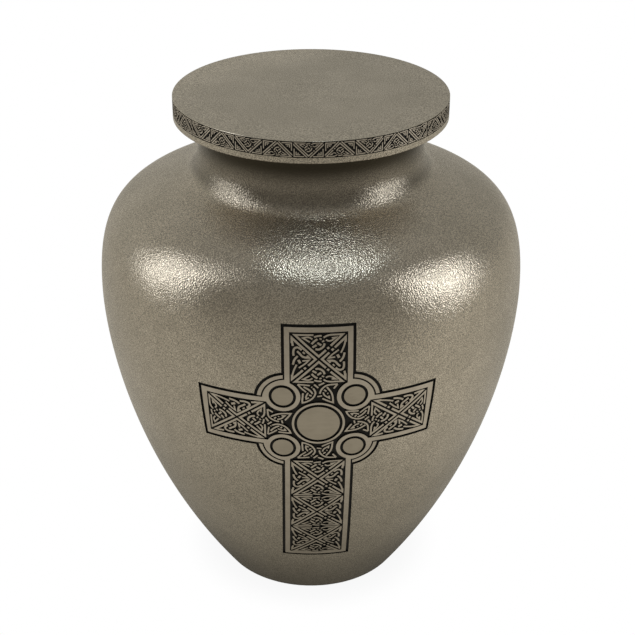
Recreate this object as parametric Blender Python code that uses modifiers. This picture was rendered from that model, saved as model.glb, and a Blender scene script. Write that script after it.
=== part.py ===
"""Cremation urn: a spun brass vessel with a ring-headed cross cut in its front, and a lift-off lid.

The urn stands on its flat foot at the origin, +Z up, with the cross on the -Y side.
A place on the carved front is given as (u, v): u is the way round the wall from the cross's
centre line, to the right, and v is the way up along the wall from the cross's centre.
"""
import math

import bmesh
import bpy
from mathutils import Matrix, Vector

# Vessel, metres.
BODY_RADIUS = 0.0910
BODY_WIDEST_Z = 0.1402
FOOT_RADIUS = 0.0420
FLANK_ANGLE = math.radians(55.9)      # the flank's rise from the foot, from the horizontal
FLANK_REACH = 0.0764                  # length of the flank curve's lower handle
WIDEST_REACH_DOWN = 0.0195            # handles of the curves that meet at the widest place
WIDEST_REACH_UP = 0.0415
SHOULDER_RADIUS = 0.0548              # where the shoulder meets the fillet under the neck
SHOULDER_Z = 0.1894
SHOULDER_SLOPE = math.radians(24.7)
SHOULDER_REACH = 0.0233
NECK_RADIUS = 0.0475
NECK_FILLET = 0.0125
RIM_Z = 0.2140
WALL = 0.0020
BASE_THICKNESS = 0.0030
BODY_SEGMENTS = 36
OUTER_STEPS = (9, 7, 3)               # along the flank, the shoulder and the fillet
INNER_STEPS = (6, 5, 3)

# Lid.
LID_RADIUS = 0.0572
LID_SIDE = 0.0088
LID_DOME = 0.0007
LID_BEVEL = 0.0004
LID_WALL = 0.0018
LID_SEGMENTS = 60
LID_SEAT_GAP = 0.0003                 # between the rim and the underside that rests on it
PLUG_CLEARANCE = 0.0006
PLUG_DEPTH = 0.0120
PLUG_WALL = 0.0018

# Carving.
CARVE_DEPTH = 0.0006
CROSS_Z = 0.11835                     # height of the cross's centre
STEM_HALF = 0.0142
STEM_TOP = 0.0441
STEM_BOTTOM = 0.0902
ARM_HALF = 0.0130
ARM_END = 0.0484
RING_RADIUS = 0.01285                 # of the arc between the stem and each arm
RING_SETBACK = 0.0020                 # from their edges in to that arc's centre
RING_STEPS = 6
OUTLINE = 0.0010                      # width of the groove round the cross
RING_BAND = 0.0015
RING_LINE = 0.0006
BORDER = 0.0020                       # plain metal inside the groove
CENTRE_RING = (0.0106, 0.0094, 0.0084)   # outer and inner radius of the ring, radius of the disc
BOSS_AT = (0.0139, 0.0130)
BOSS_COLLAR = 0.0070
BOSS_GROOVE = (0.0052, 0.0043)
PANEL_LINE = 0.0005                   # groove between a panel's triangles and its border
DIAGONAL_LINE = 0.0007
STRAND = 0.0009                       # metal strand round each triangle
LOWER_PANELS = 3

# Band round the lid.
BAND_PANELS = 30
BAND_TOP_LIP = 0.0003
BAND_HEIGHT = 0.0053
BAND_STRAND = 0.0009
BAND_TURN = math.radians(9.2)          # how far the first panel stands round from the cross

SMOOTH_ANGLE = math.radians(30)
URN_COLOUR = (0.265, 0.235, 0.180, 1.0)


def clear_scene():
    for item in list(bpy.data.objects):
        bpy.data.objects.remove(item, do_unlink=True)


def new_collection(name):
    group = bpy.data.collections.new(name)
    bpy.context.scene.collection.children.link(group)
    return group


def metal(name, colour, roughness):
    material = bpy.data.materials.new(name)
    material.use_nodes = True
    shader = material.node_tree.nodes["Principled BSDF"]
    shader.inputs["Base Color"].default_value = colour
    shader.inputs["Metallic"].default_value = 1.0
    shader.inputs["Roughness"].default_value = roughness
    return material


# Outlines

def bezier(a, b, c, d, steps):
    """Points of a cubic curve, without its first one."""
    points = []
    for i in range(1, steps + 1):
        t = i / steps
        points.append(a * (1 - t) ** 3 + b * 3 * t * (1 - t) ** 2 + c * 3 * t * t * (1 - t) + d * t ** 3)
    return points


def arc(centre, radius, start, end, steps):
    return [centre + radius * Vector((math.cos(start + (end - start) * i / steps),
                                      math.sin(start + (end - start) * i / steps)))
            for i in range(steps + 1)]


def circle(centre, radius, steps):
    return arc(Vector(centre), radius, 0.0, 2 * math.pi * (steps - 1) / steps, steps - 1)


def outer_profile(steps=OUTER_STEPS):
    """The vessel's outside from the foot's edge to the rim, as (radius, z)."""
    flank_steps, shoulder_steps, fillet_steps = steps
    foot = Vector((FOOT_RADIUS, 0.0))
    widest = Vector((BODY_RADIUS, BODY_WIDEST_Z))
    shoulder = Vector((SHOULDER_RADIUS, SHOULDER_Z))
    rise = Vector((math.cos(FLANK_ANGLE), math.sin(FLANK_ANGLE)))
    slope = Vector((math.cos(SHOULDER_SLOPE), -math.sin(SHOULDER_SLOPE)))
    points = [foot]
    points += bezier(foot, foot + FLANK_REACH * rise, widest - Vector((0, WIDEST_REACH_DOWN)), widest,
                     flank_steps)
    points += bezier(widest, widest + Vector((0, WIDEST_REACH_UP)), shoulder + SHOULDER_REACH * slope,
                     shoulder, shoulder_steps)
    turn = math.pi / 2 - SHOULDER_SLOPE
    top = shoulder.y + NECK_FILLET * math.sin(turn)
    points += arc(Vector((NECK_RADIUS + NECK_FILLET, top)), NECK_FILLET, math.pi + turn, math.pi,
                  fillet_steps)[1:]
    points.append(Vector((NECK_RADIUS, RIM_Z)))
    return points


def inset_profile(points, distance):
    """The same outline, moved inwards by a distance square to itself."""
    moved = []
    for i, point in enumerate(points):
        before = points[max(i - 1, 0)]
        after = points[min(i + 1, len(points) - 1)]
        along = (after - before).normalized()
        moved.append(point + distance * Vector((-along.y, along.x)))
    return moved


def cut_below(points, floor):
    """The part of a rising outline above a height, starting exactly at it."""
    for i in range(1, len(points)):
        if points[i].y > floor:
            low, high = points[i - 1], points[i]
            share = min(max((floor - low.y) / (high.y - low.y), 0.0), 1.0)
            return [low.lerp(high, share)] + points[i:]
    return points


def inner_profile():
    """The wall's inner face, from the base's top up to the rim."""
    inner = cut_below(inset_profile(outer_profile(INNER_STEPS), WALL), BASE_THICKNESS)
    inner[-1] = Vector((inner[-1].x, RIM_Z))
    return inner


# Turned pieces and cutters

def turned(name, profile, segments, group, material=None):
    """A closed body of revolution. The profile runs from the axis over the top, down and back to it."""
    mesh = bpy.data.meshes.new(name)
    mesh.from_pydata([(p.x, 0.0, p.y) for p in profile], [(i, i + 1) for i in range(len(profile) - 1)], [])
    item = bpy.data.objects.new(name, mesh)
    group.objects.link(item)
    screw = item.modifiers.new("turn", "SCREW")
    screw.steps = screw.render_steps = segments
    screw.use_merge_vertices = True
    screw.merge_threshold = 0.0001
    if material:
        mesh.materials.append(material)
    return item


def as_mesh(item, group):
    """The object with its modifiers applied, as a plain mesh object."""
    bpy.context.view_layer.update()
    evaluated = item.evaluated_get(bpy.context.evaluated_depsgraph_get())
    mesh = bpy.data.meshes.new_from_object(evaluated)
    result = bpy.data.objects.new(item.name + "_mesh", mesh)
    result.matrix_world = item.matrix_world
    group.objects.link(result)
    bpy.data.objects.remove(item, do_unlink=True)
    return result


def flat_shape(name, loops, thickness, group):
    """A plate of the given outlines, holes included, standing in the XZ plane."""
    curve = bpy.data.curves.new(name, "CURVE")
    curve.dimensions = "2D"
    curve.fill_mode = "BOTH"
    curve.extrude = thickness / 2
    for loop in loops:
        spline = curve.splines.new("POLY")
        spline.points.add(len(loop) - 1)
        for point, place in zip(spline.points, loop):
            point.co = (place[0], place[1], 0.0, 1.0)
        spline.use_cyclic_u = True
    item = as_mesh_from_curve(curve, name, group)
    item.data.transform(Matrix.Rotation(math.pi / 2, 4, "X"))
    return item


def as_mesh_from_curve(curve, name, group):
    item = bpy.data.objects.new(name, curve)
    group.objects.link(item)
    result = as_mesh(item, group)
    shape = bmesh.new()
    shape.from_mesh(result.data)
    bmesh.ops.remove_doubles(shape, verts=shape.verts, dist=0.000005)
    bmesh.ops.recalc_face_normals(shape, faces=shape.faces)
    shape.to_mesh(result.data)
    shape.free()
    return result


def joined(name, items, matrices, group):
    """One cutter from several shapes, each repeated at every place given."""
    shape = bmesh.new()
    for item in items:
        for matrix in matrices:
            copy = item.data.copy()
            copy.transform(matrix)
            shape.from_mesh(copy)
            bpy.data.meshes.remove(copy)
        bpy.data.objects.remove(item, do_unlink=True)
    mesh = bpy.data.meshes.new(name)
    shape.to_mesh(mesh)
    shape.free()
    result = bpy.data.objects.new(name, mesh)
    group.objects.link(result)
    return result


def hide_guide(item):
    item.hide_render = True
    item.display_type = "WIRE"


def cut(item, cutter, operation="DIFFERENCE"):
    change = item.modifiers.new(operation.lower(), "BOOLEAN")
    change.object = cutter
    change.operation = operation
    hide_guide(cutter)


# The carved front

class Wall:
    """Lays a flat (u, v) drawing on the vessel's front, as (x, z) seen from straight ahead."""

    def __init__(self, profile):
        self.profile = profile
        self.along = [0.0]
        for low, high in zip(profile, profile[1:]):
            self.along.append(self.along[-1] + (high - low).length)
        self.centre_along = self.along_at_height(CROSS_Z)
        self.centre_radius = self.at(0.0).x

    def along_at_height(self, z):
        for i in range(1, len(self.profile)):
            low, high = self.profile[i - 1], self.profile[i]
            if high.y >= z:
                return self.along[i - 1] + (self.along[i] - self.along[i - 1]) * (z - low.y) / (high.y - low.y)
        return self.along[-1]

    def at(self, v):
        """Radius and height of the wall at v."""
        place = min(max(self.centre_along + v, 0.0), self.along[-1])
        for i in range(1, len(self.along)):
            if self.along[i] >= place:
                share = (place - self.along[i - 1]) / (self.along[i] - self.along[i - 1])
                return self.profile[i - 1].lerp(self.profile[i], share)
        return self.profile[-1]

    def front(self, loop):
        """The stem is as wide in millimetres all the way down; the arms end on a meridian."""
        places = []
        for u, v in loop:
            radius, z = self.at(v)
            in_stem = math.copysign(min(abs(u), STEM_HALF), u)
            angle = in_stem / radius + (u - in_stem) / self.centre_radius
            places.append((radius * math.sin(angle), z))
        return places


def mirrored(quarter):
    """A closed outline from its upper right part, where the lower half has its own lengths."""
    return quarter + [Vector((-p.x, p.y)) for p in reversed(quarter)]


def ring_quarter(radius, stem, arm):
    """An arc of the ring's upper right quarter, from the stem's edge round to the arm's."""
    centre = Vector((STEM_HALF - RING_SETBACK, ARM_HALF - RING_SETBACK))
    start = math.acos((stem - centre.x) / radius)
    stop = math.asin((arm - centre.y) / radius)
    return arc(centre, radius, start, stop, RING_STEPS)


def cross_outline(inset):
    """The ring-headed cross, its edge moved in by a distance."""
    stem, arm = STEM_HALF - inset, ARM_HALF - inset
    end, top, bottom = ARM_END - inset, STEM_TOP - inset, STEM_BOTTOM - inset
    upper = ring_quarter(RING_RADIUS - inset, stem, arm)
    lower = [Vector((p.x, -p.y)) for p in reversed(upper)]
    right = [Vector((stem, top))] + upper + [Vector((end, arm)), Vector((end, -arm))] + lower
    right.append(Vector((stem, -bottom)))
    return mirrored(right)


def ring_lines():
    """Four short grooves that part the ring's band from the plain metal inside it."""
    outer = RING_RADIUS - OUTLINE - RING_BAND
    edges = (STEM_HALF - OUTLINE / 2, ARM_HALF - OUTLINE / 2)
    quarter = ring_quarter(outer, *edges) + ring_quarter(outer - RING_LINE, *edges)[::-1]
    return [[Vector((p.x * turn_u, p.y * turn_v)) for p in quarter]
            for turn_u, turn_v in ((1, 1), (1, -1), (-1, -1), (-1, 1))]


def field_half_sizes():
    """Half widths of the carved field in the stem and in the arms."""
    return STEM_HALF - OUTLINE - BORDER, ARM_HALF - OUTLINE - BORDER


def collar_meets():
    """Where a boss's collar meets the edges of the stem's field and of the arm's field."""
    stem, arm = field_half_sizes()
    rise = BOSS_AT[1] + math.sqrt(max(BOSS_COLLAR ** 2 - (BOSS_AT[0] - stem) ** 2, 0.0))
    reach = BOSS_AT[0] + math.sqrt(max(BOSS_COLLAR ** 2 - (BOSS_AT[1] - arm) ** 2, 0.0))
    return rise, reach


def field_outline():
    """The sunk field: the stem and the arms inside their borders, less the bosses' collars."""
    stem, arm = field_half_sizes()
    rise, reach = collar_meets()
    end, top, bottom = (size - OUTLINE - BORDER for size in (ARM_END, STEM_TOP, STEM_BOTTOM))
    centre = Vector(BOSS_AT)
    start = math.atan2(rise - BOSS_AT[1], stem - BOSS_AT[0])
    stop = math.atan2(arm - BOSS_AT[1], reach - BOSS_AT[0]) + 2 * math.pi
    upper = arc(centre, BOSS_COLLAR, start, stop, 7)
    right = [Vector((stem, top))] + upper + [Vector((end, arm)), Vector((end, -arm))]
    right += [Vector((p.x, -p.y)) for p in reversed(upper)] + [Vector((stem, -bottom))]
    return mirrored(right)


def panel_boxes():
    """The square panels of the cross, as (left, bottom, right, top)."""
    stem, arm = field_half_sizes()
    rise, reach = collar_meets()
    end, top, bottom = (size - OUTLINE - BORDER for size in (ARM_END, STEM_TOP, STEM_BOTTOM))
    boxes = [(-stem, rise, stem, top), (reach, -arm, end, arm), (-end, -arm, -reach, arm)]
    height = (bottom - rise) / LOWER_PANELS
    boxes += [(-stem, -rise - height * (i + 1), stem, -rise - height * i) for i in range(LOWER_PANELS)]
    return boxes


def inset_loop(loop, distances):
    """A convex outline with each of its sides moved in by its own distance."""
    count = len(loop)
    middle = sum(loop, Vector((0, 0))) / count
    lines = []
    for i in range(count):
        a, b = loop[i], loop[(i + 1) % count]
        inward = Vector((a.y - b.y, b.x - a.x)).normalized()
        if inward.dot(middle - a) < 0:
            inward = -inward
        lines.append((inward, inward.dot(a) + distances[i]))
    corners = []
    for i in range(count):
        (m, p), (n, q) = lines[i - 1], lines[i]
        det = m.x * n.y - m.y * n.x
        corners.append(Vector(((p * n.y - q * m.y) / det, (m.x * q - n.x * p) / det)))
    return corners


def leaf(root, tip, width):
    """A pointed leaf, widest near its root."""
    along = tip - root
    across = Vector((-along.y, along.x)).normalized() * width / 2
    return [root, root + along * 0.4 + across, tip, root + along * 0.4 - across]


def knot(apex, left, right, size):
    """A three-lobed knot in a triangle: two leaves into the base corners and a round lobe at the apex."""
    base = (left + right) / 2
    side = (right - left) / 2
    down = apex - base

    def place(across, deep):
        return base + side * across + down * deep

    leaves = [leaf(place(0.08 * sign, 0.25), place(0.66 * sign, 0.14), size * 2.2) for sign in (-1, 1)]
    return leaves + [circle(place(0, 0.50), size * 1.5, 6)]


def spandrel_leaves():
    """Four pairs of leaves between the centre ring and the panels."""
    stem, arm = field_half_sizes()
    rise, reach = collar_meets()
    near = CENTRE_RING[0] + STRAND
    leaves = []
    for sign in (-1, 1):
        for side in (-1, 1):
            leaves.append(leaf(Vector((sign * stem * 0.45, side * near)),
                               Vector((sign * stem * 0.25, side * (rise - PANEL_LINE))), STRAND * 4))
            leaves.append(leaf(Vector((side * near, sign * arm * 0.5)),
                               Vector((side * (reach - PANEL_LINE), sign * arm * 0.3)), STRAND * 4))
    return leaves


def panel_triangles(box):
    """The four triangles between a panel's diagonals: corners from the panel's centre round."""
    left, bottom, right, top = box
    corners = [Vector((left, bottom)), Vector((right, bottom)), Vector((right, top)), Vector((left, top))]
    middle = Vector(((left + right) / 2, (bottom + top) / 2))
    return [[middle, corners[i], corners[(i + 1) % 4]] for i in range(4)]


def cross_cutter(wall, core, group):
    """Everything that is sunk in the front, to one depth below the wall."""
    field = [field_outline(), circle((0, 0), CENTRE_RING[0], 18)]
    pockets, islands = [], []
    for box in panel_boxes():
        for triangle in panel_triangles(box):
            edges = (DIAGONAL_LINE / 2, PANEL_LINE, DIAGONAL_LINE / 2)
            field.append(inset_loop(triangle, edges))
            pocket = inset_loop(triangle, [edge + STRAND for edge in edges])
            pockets.append(pocket)
            islands += knot(*pocket, STRAND)
    field += spandrel_leaves()
    grooves = [cross_outline(0.0), cross_outline(OUTLINE),
               circle((0, 0), CENTRE_RING[1], 18), circle((0, 0), CENTRE_RING[2], 18)]
    for turn_u, turn_v in ((1, 1), (1, -1), (-1, -1), (-1, 1)):
        place = (BOSS_AT[0] * turn_u, BOSS_AT[1] * turn_v)
        grooves += [circle(place, radius, 12) for radius in BOSS_GROOVE]
    shapes = []
    for name, loops in (("field", field), ("pockets", pockets + islands), ("grooves", grooves + ring_lines())):
        shapes.append(flat_shape(name, [wall.front(loop) for loop in loops], BODY_RADIUS, group))
    ahead = Matrix.Translation((0, -BODY_RADIUS * 0.75, 0))
    cutter = joined("cross_cutter", shapes, [ahead], group)
    cut(cutter, core)
    return cutter


def finished(item, name, group):
    """The piece with its cuts made, round faces smooth and the cut edges crisp."""
    piece = as_mesh(item, group)
    piece.name = piece.data.name = name
    piece.data.shade_smooth()
    piece.data.set_sharp_from_angle(angle=SMOOTH_ANGLE)
    return piece


def make_body(parts, cutters, material):
    outside = outer_profile()
    closed = [Vector((0, BASE_THICKNESS))] + inner_profile() + outside[::-1] + [Vector((0, 0))]
    body = turned("body", closed, BODY_SEGMENTS, parts, material)
    core_outline = inset_profile(outside, CARVE_DEPTH)
    core_outline = [Vector((0, RIM_Z))] + core_outline[::-1] + [Vector((0, core_outline[0].y))]
    core = turned("carving_floor", core_outline, BODY_SEGMENTS, cutters)
    cut(body, cross_cutter(Wall(outside), core, cutters))
    return finished(body, "urn_body", parts)


# The lid

def lid_profile():
    """The hollow lid with its plug collar, from the axis over the top and back to it inside."""
    under = RIM_Z + LID_SEAT_GAP
    top = under + LID_SIDE
    plug = NECK_RADIUS - WALL - PLUG_CLEARANCE
    bottom = RIM_Z - PLUG_DEPTH
    outside = [Vector((0, top + LID_DOME)), Vector((LID_RADIUS - LID_BEVEL, top)), Vector((LID_RADIUS, top - LID_BEVEL)),
               Vector((LID_RADIUS, under)), Vector((plug, under)), Vector((plug, bottom))]
    inside = [Vector((plug - PLUG_WALL, bottom)), Vector((plug - PLUG_WALL, under + LID_WALL)),
              Vector((LID_RADIUS - LID_WALL, under + LID_WALL)), Vector((LID_RADIUS - LID_WALL, top - LID_WALL)),
              Vector((0, top - LID_WALL))]
    return outside + inside


def band_cutter(group):
    """Pairs of panels round the lid's side, one pointing up and one down, repeated round it."""
    turn = 2 * math.pi / BAND_PANELS
    width = LID_RADIUS * turn
    top = RIM_Z + LID_SEAT_GAP + LID_SIDE - LID_BEVEL - BAND_TOP_LIP
    half, bottom = width / 2, top - BAND_HEIGHT
    pockets = []
    for index, (base, point) in enumerate(((bottom, top), (top, bottom))):
        middle = width * index
        apex = Vector((middle, point))
        corners = [Vector((middle - half, base)), Vector((middle + half, base))]
        pockets.append(inset_loop([apex, *corners], [BAND_STRAND / 2, 0.0, BAND_STRAND / 2]))
        for corner in corners:
            beside = [apex, corner, Vector((corner.x, point))]
            pockets.append(inset_loop(beside, [BAND_STRAND / 2, BAND_STRAND / 3, 0.0]))
    plate = flat_shape("band", [bent_outline(loop) for loop in pockets], LID_RADIUS * 0.2, group)
    return plate, turn


def bent_outline(loop):
    return [(LID_RADIUS * math.sin(p.x / LID_RADIUS), p.y) for p in loop]


def make_lid(parts, cutters, material):
    lid = turned("lid", lid_profile(), LID_SEGMENTS, parts, material)
    radius, under = LID_RADIUS - CARVE_DEPTH, RIM_Z
    top = under + LID_SIDE + LID_DOME + LID_WALL
    core = turned("band_floor", [Vector((0, top)), Vector((radius, top)), Vector((radius, under)),
                                 Vector((0, under))], LID_SEGMENTS, cutters)
    plate, turn = band_cutter(cutters)
    outwards = Matrix.Translation((0, -LID_RADIUS, 0))
    places = [Matrix.Rotation(2 * turn * i, 4, "Z") @ outwards for i in range(BAND_PANELS // 2)]
    cutter = joined("band_cutter", [plate], places, cutters)
    for item in (lid, core, cutter):
        item.rotation_euler.z = BAND_TURN
    cut(cutter, core)
    cut(lid, cutter)
    return finished(lid, "urn_lid", parts)


def main():
    clear_scene()
    parts = new_collection("celtic_cross_urn")
    cutters = new_collection("cutters")
    brass = metal("pewter_brass", URN_COLOUR, 0.38)
    make_body(parts, cutters, brass)
    make_lid(parts, cutters, brass)


main()
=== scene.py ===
"""Looks of a cremation urn: a grained metal vessel with a ring-headed cross on its front, the cross
filled round with black enamel, and a lift-off lid with a knotwork band.

Lengths are metres. The urn stands on its foot at the origin, +Z up, with the cross on the -Y side.
A place on the vessel's front is (u, v): u runs round the wall from the cross's centre line, to the
right, and v runs up along the wall from the cross's centre. A height is measured square to the wall.
"""

import logging
import math
from collections.abc import Callable
from dataclasses import dataclass, field
from enum import Enum

import bpy
import numpy as np
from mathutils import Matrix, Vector
from mathutils.geometry import delaunay_2d_cdt


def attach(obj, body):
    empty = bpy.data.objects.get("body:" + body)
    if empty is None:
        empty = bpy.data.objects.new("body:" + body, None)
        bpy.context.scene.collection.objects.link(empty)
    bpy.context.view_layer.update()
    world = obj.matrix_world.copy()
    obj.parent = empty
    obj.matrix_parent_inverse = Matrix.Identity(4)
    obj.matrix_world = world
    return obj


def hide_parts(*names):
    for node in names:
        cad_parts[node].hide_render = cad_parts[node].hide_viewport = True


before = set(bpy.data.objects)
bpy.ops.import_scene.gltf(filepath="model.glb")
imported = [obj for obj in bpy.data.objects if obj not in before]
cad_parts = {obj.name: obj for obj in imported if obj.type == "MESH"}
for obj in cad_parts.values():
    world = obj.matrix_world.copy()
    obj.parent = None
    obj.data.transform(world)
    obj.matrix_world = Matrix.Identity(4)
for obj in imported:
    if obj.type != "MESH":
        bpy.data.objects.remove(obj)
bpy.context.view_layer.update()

Points = np.ndarray
MM = 0.001
BODY = "root"
LOG = logging.getLogger("urn")
GRID_GAP = 0.4              # least gap from an outline to the points inside, as a share of their spacing


# Outlines

def unit(vectors: Points) -> Points:
    """Vectors of length one, each divided by its own length."""
    return vectors / np.linalg.norm(vectors, axis=-1, keepdims=True)


def bezier(corners: Points, steps: int) -> Points:
    """A cubic curve by its Bernstein sum over four control points.

    Args:
        corners: The four control points, as rows.
        steps: How many equal steps of the parameter the curve has.

    Returns:
        The curve's points, both ends included.
    """
    t = np.linspace(0.0, 1.0, steps + 1)[:, None]
    a, b, c, d = corners
    return a * (1 - t) ** 3 + 3 * b * t * (1 - t) ** 2 + 3 * c * t * t * (1 - t) + d * t ** 3


def corner_curve(start: Points, corner: Points, end: Points, steps: int = 4) -> Points:
    """A rounded corner: the square-law curve that leaves start and reaches end along the two sides.

    Args:
        start: Where the rounding begins on the first side.
        corner: The sharp corner.
        end: Where it ends on the second side.
        steps: How many steps it has.

    Returns:
        The curve's points, both ends included.
    """
    t = np.linspace(0.0, 1.0, steps + 1)[:, None]
    return start * (1 - t) ** 2 + 2 * corner * t * (1 - t) + end * t * t


def arc(centre: Points, radius: float, start: float, stop: float, steps: int) -> Points:
    """Points on a circle, centre plus radius times (cosine, sine) of evenly spaced angles.

    Args:
        centre: The circle's centre.
        radius: Its radius.
        start: The first angle, in radians.
        stop: The last angle.
        steps: How many steps lie between them.

    Returns:
        The points, both ends included.
    """
    angle = np.linspace(start, stop, steps + 1)
    return np.asarray(centre) + radius * np.stack([np.cos(angle), np.sin(angle)], axis=1)


def circle(centre: Points, radius: float, steps: int = 64) -> Points:
    """A whole circle, without its first point repeated at the end."""
    return arc(centre, radius, 0.0, 2 * math.pi * (steps - 1) / steps, steps - 1)


def run_along(line: Points) -> Points:
    """How far along the line each of its points is: the running sum of the steps' lengths."""
    return np.concatenate([[0.0], np.cumsum(np.linalg.norm(np.diff(line, axis=0), axis=1))])


def evenly(line: Points, step: float) -> Points:
    """The same line with points an equal distance apart, read off by its running length.

    Args:
        line: The line's points.
        step: The distance wanted between points.

    Returns:
        The new points, both ends kept.
    """
    run = run_along(line)
    places = np.linspace(0.0, run[-1], max(int(round(run[-1] / step)), 1) + 1)
    return np.stack([np.interp(places, run, line[:, k]) for k in range(line.shape[1])], axis=1)


def dense_loop(loop: Points, step: float) -> Points:
    """A closed outline whose straight sides are divided so that no step is longer than asked.

    Each side is cut into its own whole number of equal parts, and its corners stay.

    Args:
        loop: The outline's corners.
        step: The longest step allowed.

    Returns:
        The divided outline, without its first point repeated.
    """
    ahead = np.roll(loop, -1, axis=0)
    counts = np.maximum(np.ceil(np.linalg.norm(ahead - loop, axis=1) / step).astype(int), 1)
    side = np.repeat(np.arange(len(loop)), counts)
    first = np.repeat(np.cumsum(counts) - counts, counts)
    share = ((np.arange(len(side)) - first) / counts[side])[:, None]
    return loop[side] * (1 - share) + ahead[side] * share


def curve_through(points: Points, steps: int = 5) -> Points:
    """A smooth line through points: on each stretch the cubic whose end slopes are half the step
    from the point before to the point after.

    Args:
        points: The points to pass through.
        steps: How many steps each stretch gets.

    Returns:
        The line's points.
    """
    if len(points) < 3:
        return points
    padded = np.vstack([2 * points[0] - points[1], points, 2 * points[-1] - points[-2]])
    before, start, stop, after = (padded[k:len(padded) - 3 + k, None, :] for k in range(4))
    t = (np.arange(steps) / steps)[None, :, None]
    smooth = 0.5 * (2 * start + (stop - before) * t + (2 * before - 5 * start + 4 * stop - after) * t ** 2
                    + (3 * start - before - 3 * stop + after) * t ** 3)
    return np.vstack([smooth.reshape(-1, 2), points[-1:]])


def inset_loop(loop: Points, distances: tuple[float, ...]) -> Points:
    """A convex outline with each side moved in by its own distance; new corners are where the
    moved sides cross.

    Args:
        loop: The outline's corners.
        distances: How far the side that starts at each corner moves in.

    Returns:
        The new corners, in the same order.
    """
    along = unit(np.roll(loop, -1, axis=0) - loop)
    inward = np.stack([-along[:, 1], along[:, 0]], axis=1)
    turned = np.sign(np.sum(inward * (loop.mean(axis=0) - loop), axis=1))[:, None]
    inward = inward * turned
    offset = np.sum(inward * loop, axis=1) + np.asarray(distances)
    before, offset_before = np.roll(inward, 1, axis=0), np.roll(offset, 1)
    det = before[:, 0] * inward[:, 1] - before[:, 1] * inward[:, 0]
    across = (offset_before * inward[:, 1] - offset * before[:, 1]) / det
    rise = (before[:, 0] * offset - inward[:, 0] * offset_before) / det
    return np.stack([across, rise], axis=1)


# Flat regions

class Rule(Enum):
    """Which places a set of outlines covers."""

    EVEN_ODD = "inside an odd number of outlines"
    UNION = "inside any outline"


@dataclass(frozen=True)
class Region:
    """A flat region cut into triangles."""

    points: Points
    triangles: Points
    rims: Points


def windings(points: Points, loop: Points) -> Points:
    """How often an outline runs round each point: sides that cross the point's level upwards on
    its right count one, and those that cross it downwards count minus one.

    Args:
        points: The points to test.
        loop: The outline.

    Returns:
        One whole number for each point.
    """
    ahead = np.roll(loop, -1, axis=0)
    px, py = points[:, :1], points[:, 1:]
    side = (ahead[:, 0] - loop[:, 0]) * (py - loop[:, 1]) - (px - loop[:, 0]) * (ahead[:, 1] - loop[:, 1])
    up = (loop[:, 1] <= py) & (ahead[:, 1] > py) & (side > 0)
    down = (loop[:, 1] > py) & (ahead[:, 1] <= py) & (side < 0)
    return up.sum(axis=1) - down.sum(axis=1)


def covered(points: Points, loops: list[Points], rule: Rule) -> Points:
    """Which points the outlines cover; each outline is tested only on the points in its own box.

    Args:
        points: The points to test.
        loops: The outlines.
        rule: How the outlines combine.

    Returns:
        True for each point covered.
    """
    count = np.zeros(len(points), int)
    for loop in loops:
        near = np.all((points >= loop.min(axis=0)) & (points <= loop.max(axis=0)), axis=1)
        count[near] += windings(points[near], loop) != 0
    return count % 2 == 1 if rule is Rule.EVEN_ODD else count > 0


def triangulated(points: Points, edges: Points) -> tuple[Points, Points, Points]:
    """Triangles over a set of points that keep the given edges.

    Args:
        points: The points, in metres.
        edges: Pairs of point numbers that must stay edges.

    Returns:
        The points used, the triangles on them, anticlockwise, and the number of the given point
        that each used point is, or -1 for a crossing of two edges.
    """
    flat = points / MM
    spots, _, faces, origins, _, _ = delaunay_2d_cdt([Vector(p) for p in flat.tolist()], edges.tolist(),
                                                     [], 0, 1e-5, True)
    used = np.array([tuple(p) for p in spots]) * MM
    triangles = np.array(faces, int)
    origin = np.array([o[0] if o else -1 for o in origins])
    kept = origin >= 0
    used[kept] = points[origin[kept]]
    a, b, c = (used[triangles[:, k]] for k in range(3))
    area = (b[:, 0] - a[:, 0]) * (c[:, 1] - a[:, 1]) - (b[:, 1] - a[:, 1]) * (c[:, 0] - a[:, 0])
    triangles[area < 0] = triangles[area < 0][:, ::-1]
    return used, triangles, origin


def rims_of(triangles: Points) -> Points:
    """The edges that only one triangle has, each with its triangle on the left."""
    edges = np.vstack([triangles[:, [0, 1]], triangles[:, [1, 2]], triangles[:, [2, 0]]])
    base = triangles.max() + 1
    return edges[~np.isin(edges[:, 0] * base + edges[:, 1], edges[:, 1] * base + edges[:, 0])]


def loop_edges(loops: list[Points]) -> Points:
    """Pairs of point numbers round each of the outlines, which are stacked one after the other."""
    edges, first = [], 0
    for loop in loops:
        numbers = np.arange(len(loop)) + first
        edges.append(np.stack([numbers, np.roll(numbers, -1)], axis=1))
        first += len(loop)
    return np.vstack(edges)


def clear_of(points: Points, others: Points, distance: float) -> Points:
    """The points that are at least a distance from all the others."""
    gap = np.linalg.norm(points[:, None, :] - others[None, :, :], axis=2)
    return points[gap.min(axis=1) > distance]


def region_of(loops: list[Points], kept: Callable[[Points], Points], spacing: float = 0.0) -> Region:
    """Cuts the region that a test describes into triangles.

    Args:
        loops: Every outline that the region's edge follows.
        kept: Says of points which the region covers.
        spacing: The spacing of a square grid of points inside it, or 0 for none.

    Returns:
        The region.
    """
    points = np.vstack(loops)
    if spacing:
        low, high = points.min(axis=0), points.max(axis=0)
        axes = [np.arange(low[k] + spacing / 2, high[k], spacing) for k in range(2)]
        grid = np.stack(np.meshgrid(*axes), axis=-1).reshape(-1, 2)
        points = np.vstack([points, clear_of(grid[kept(grid)], points, spacing * GRID_GAP)])
    used, triangles, _ = triangulated(points, loop_edges(loops))
    triangles = triangles[kept(used[triangles].mean(axis=1))]
    numbers, triangles = np.unique(triangles, return_inverse=True)
    triangles = triangles.reshape(-1, 3)
    return Region(used[numbers], triangles, rims_of(triangles))


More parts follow.
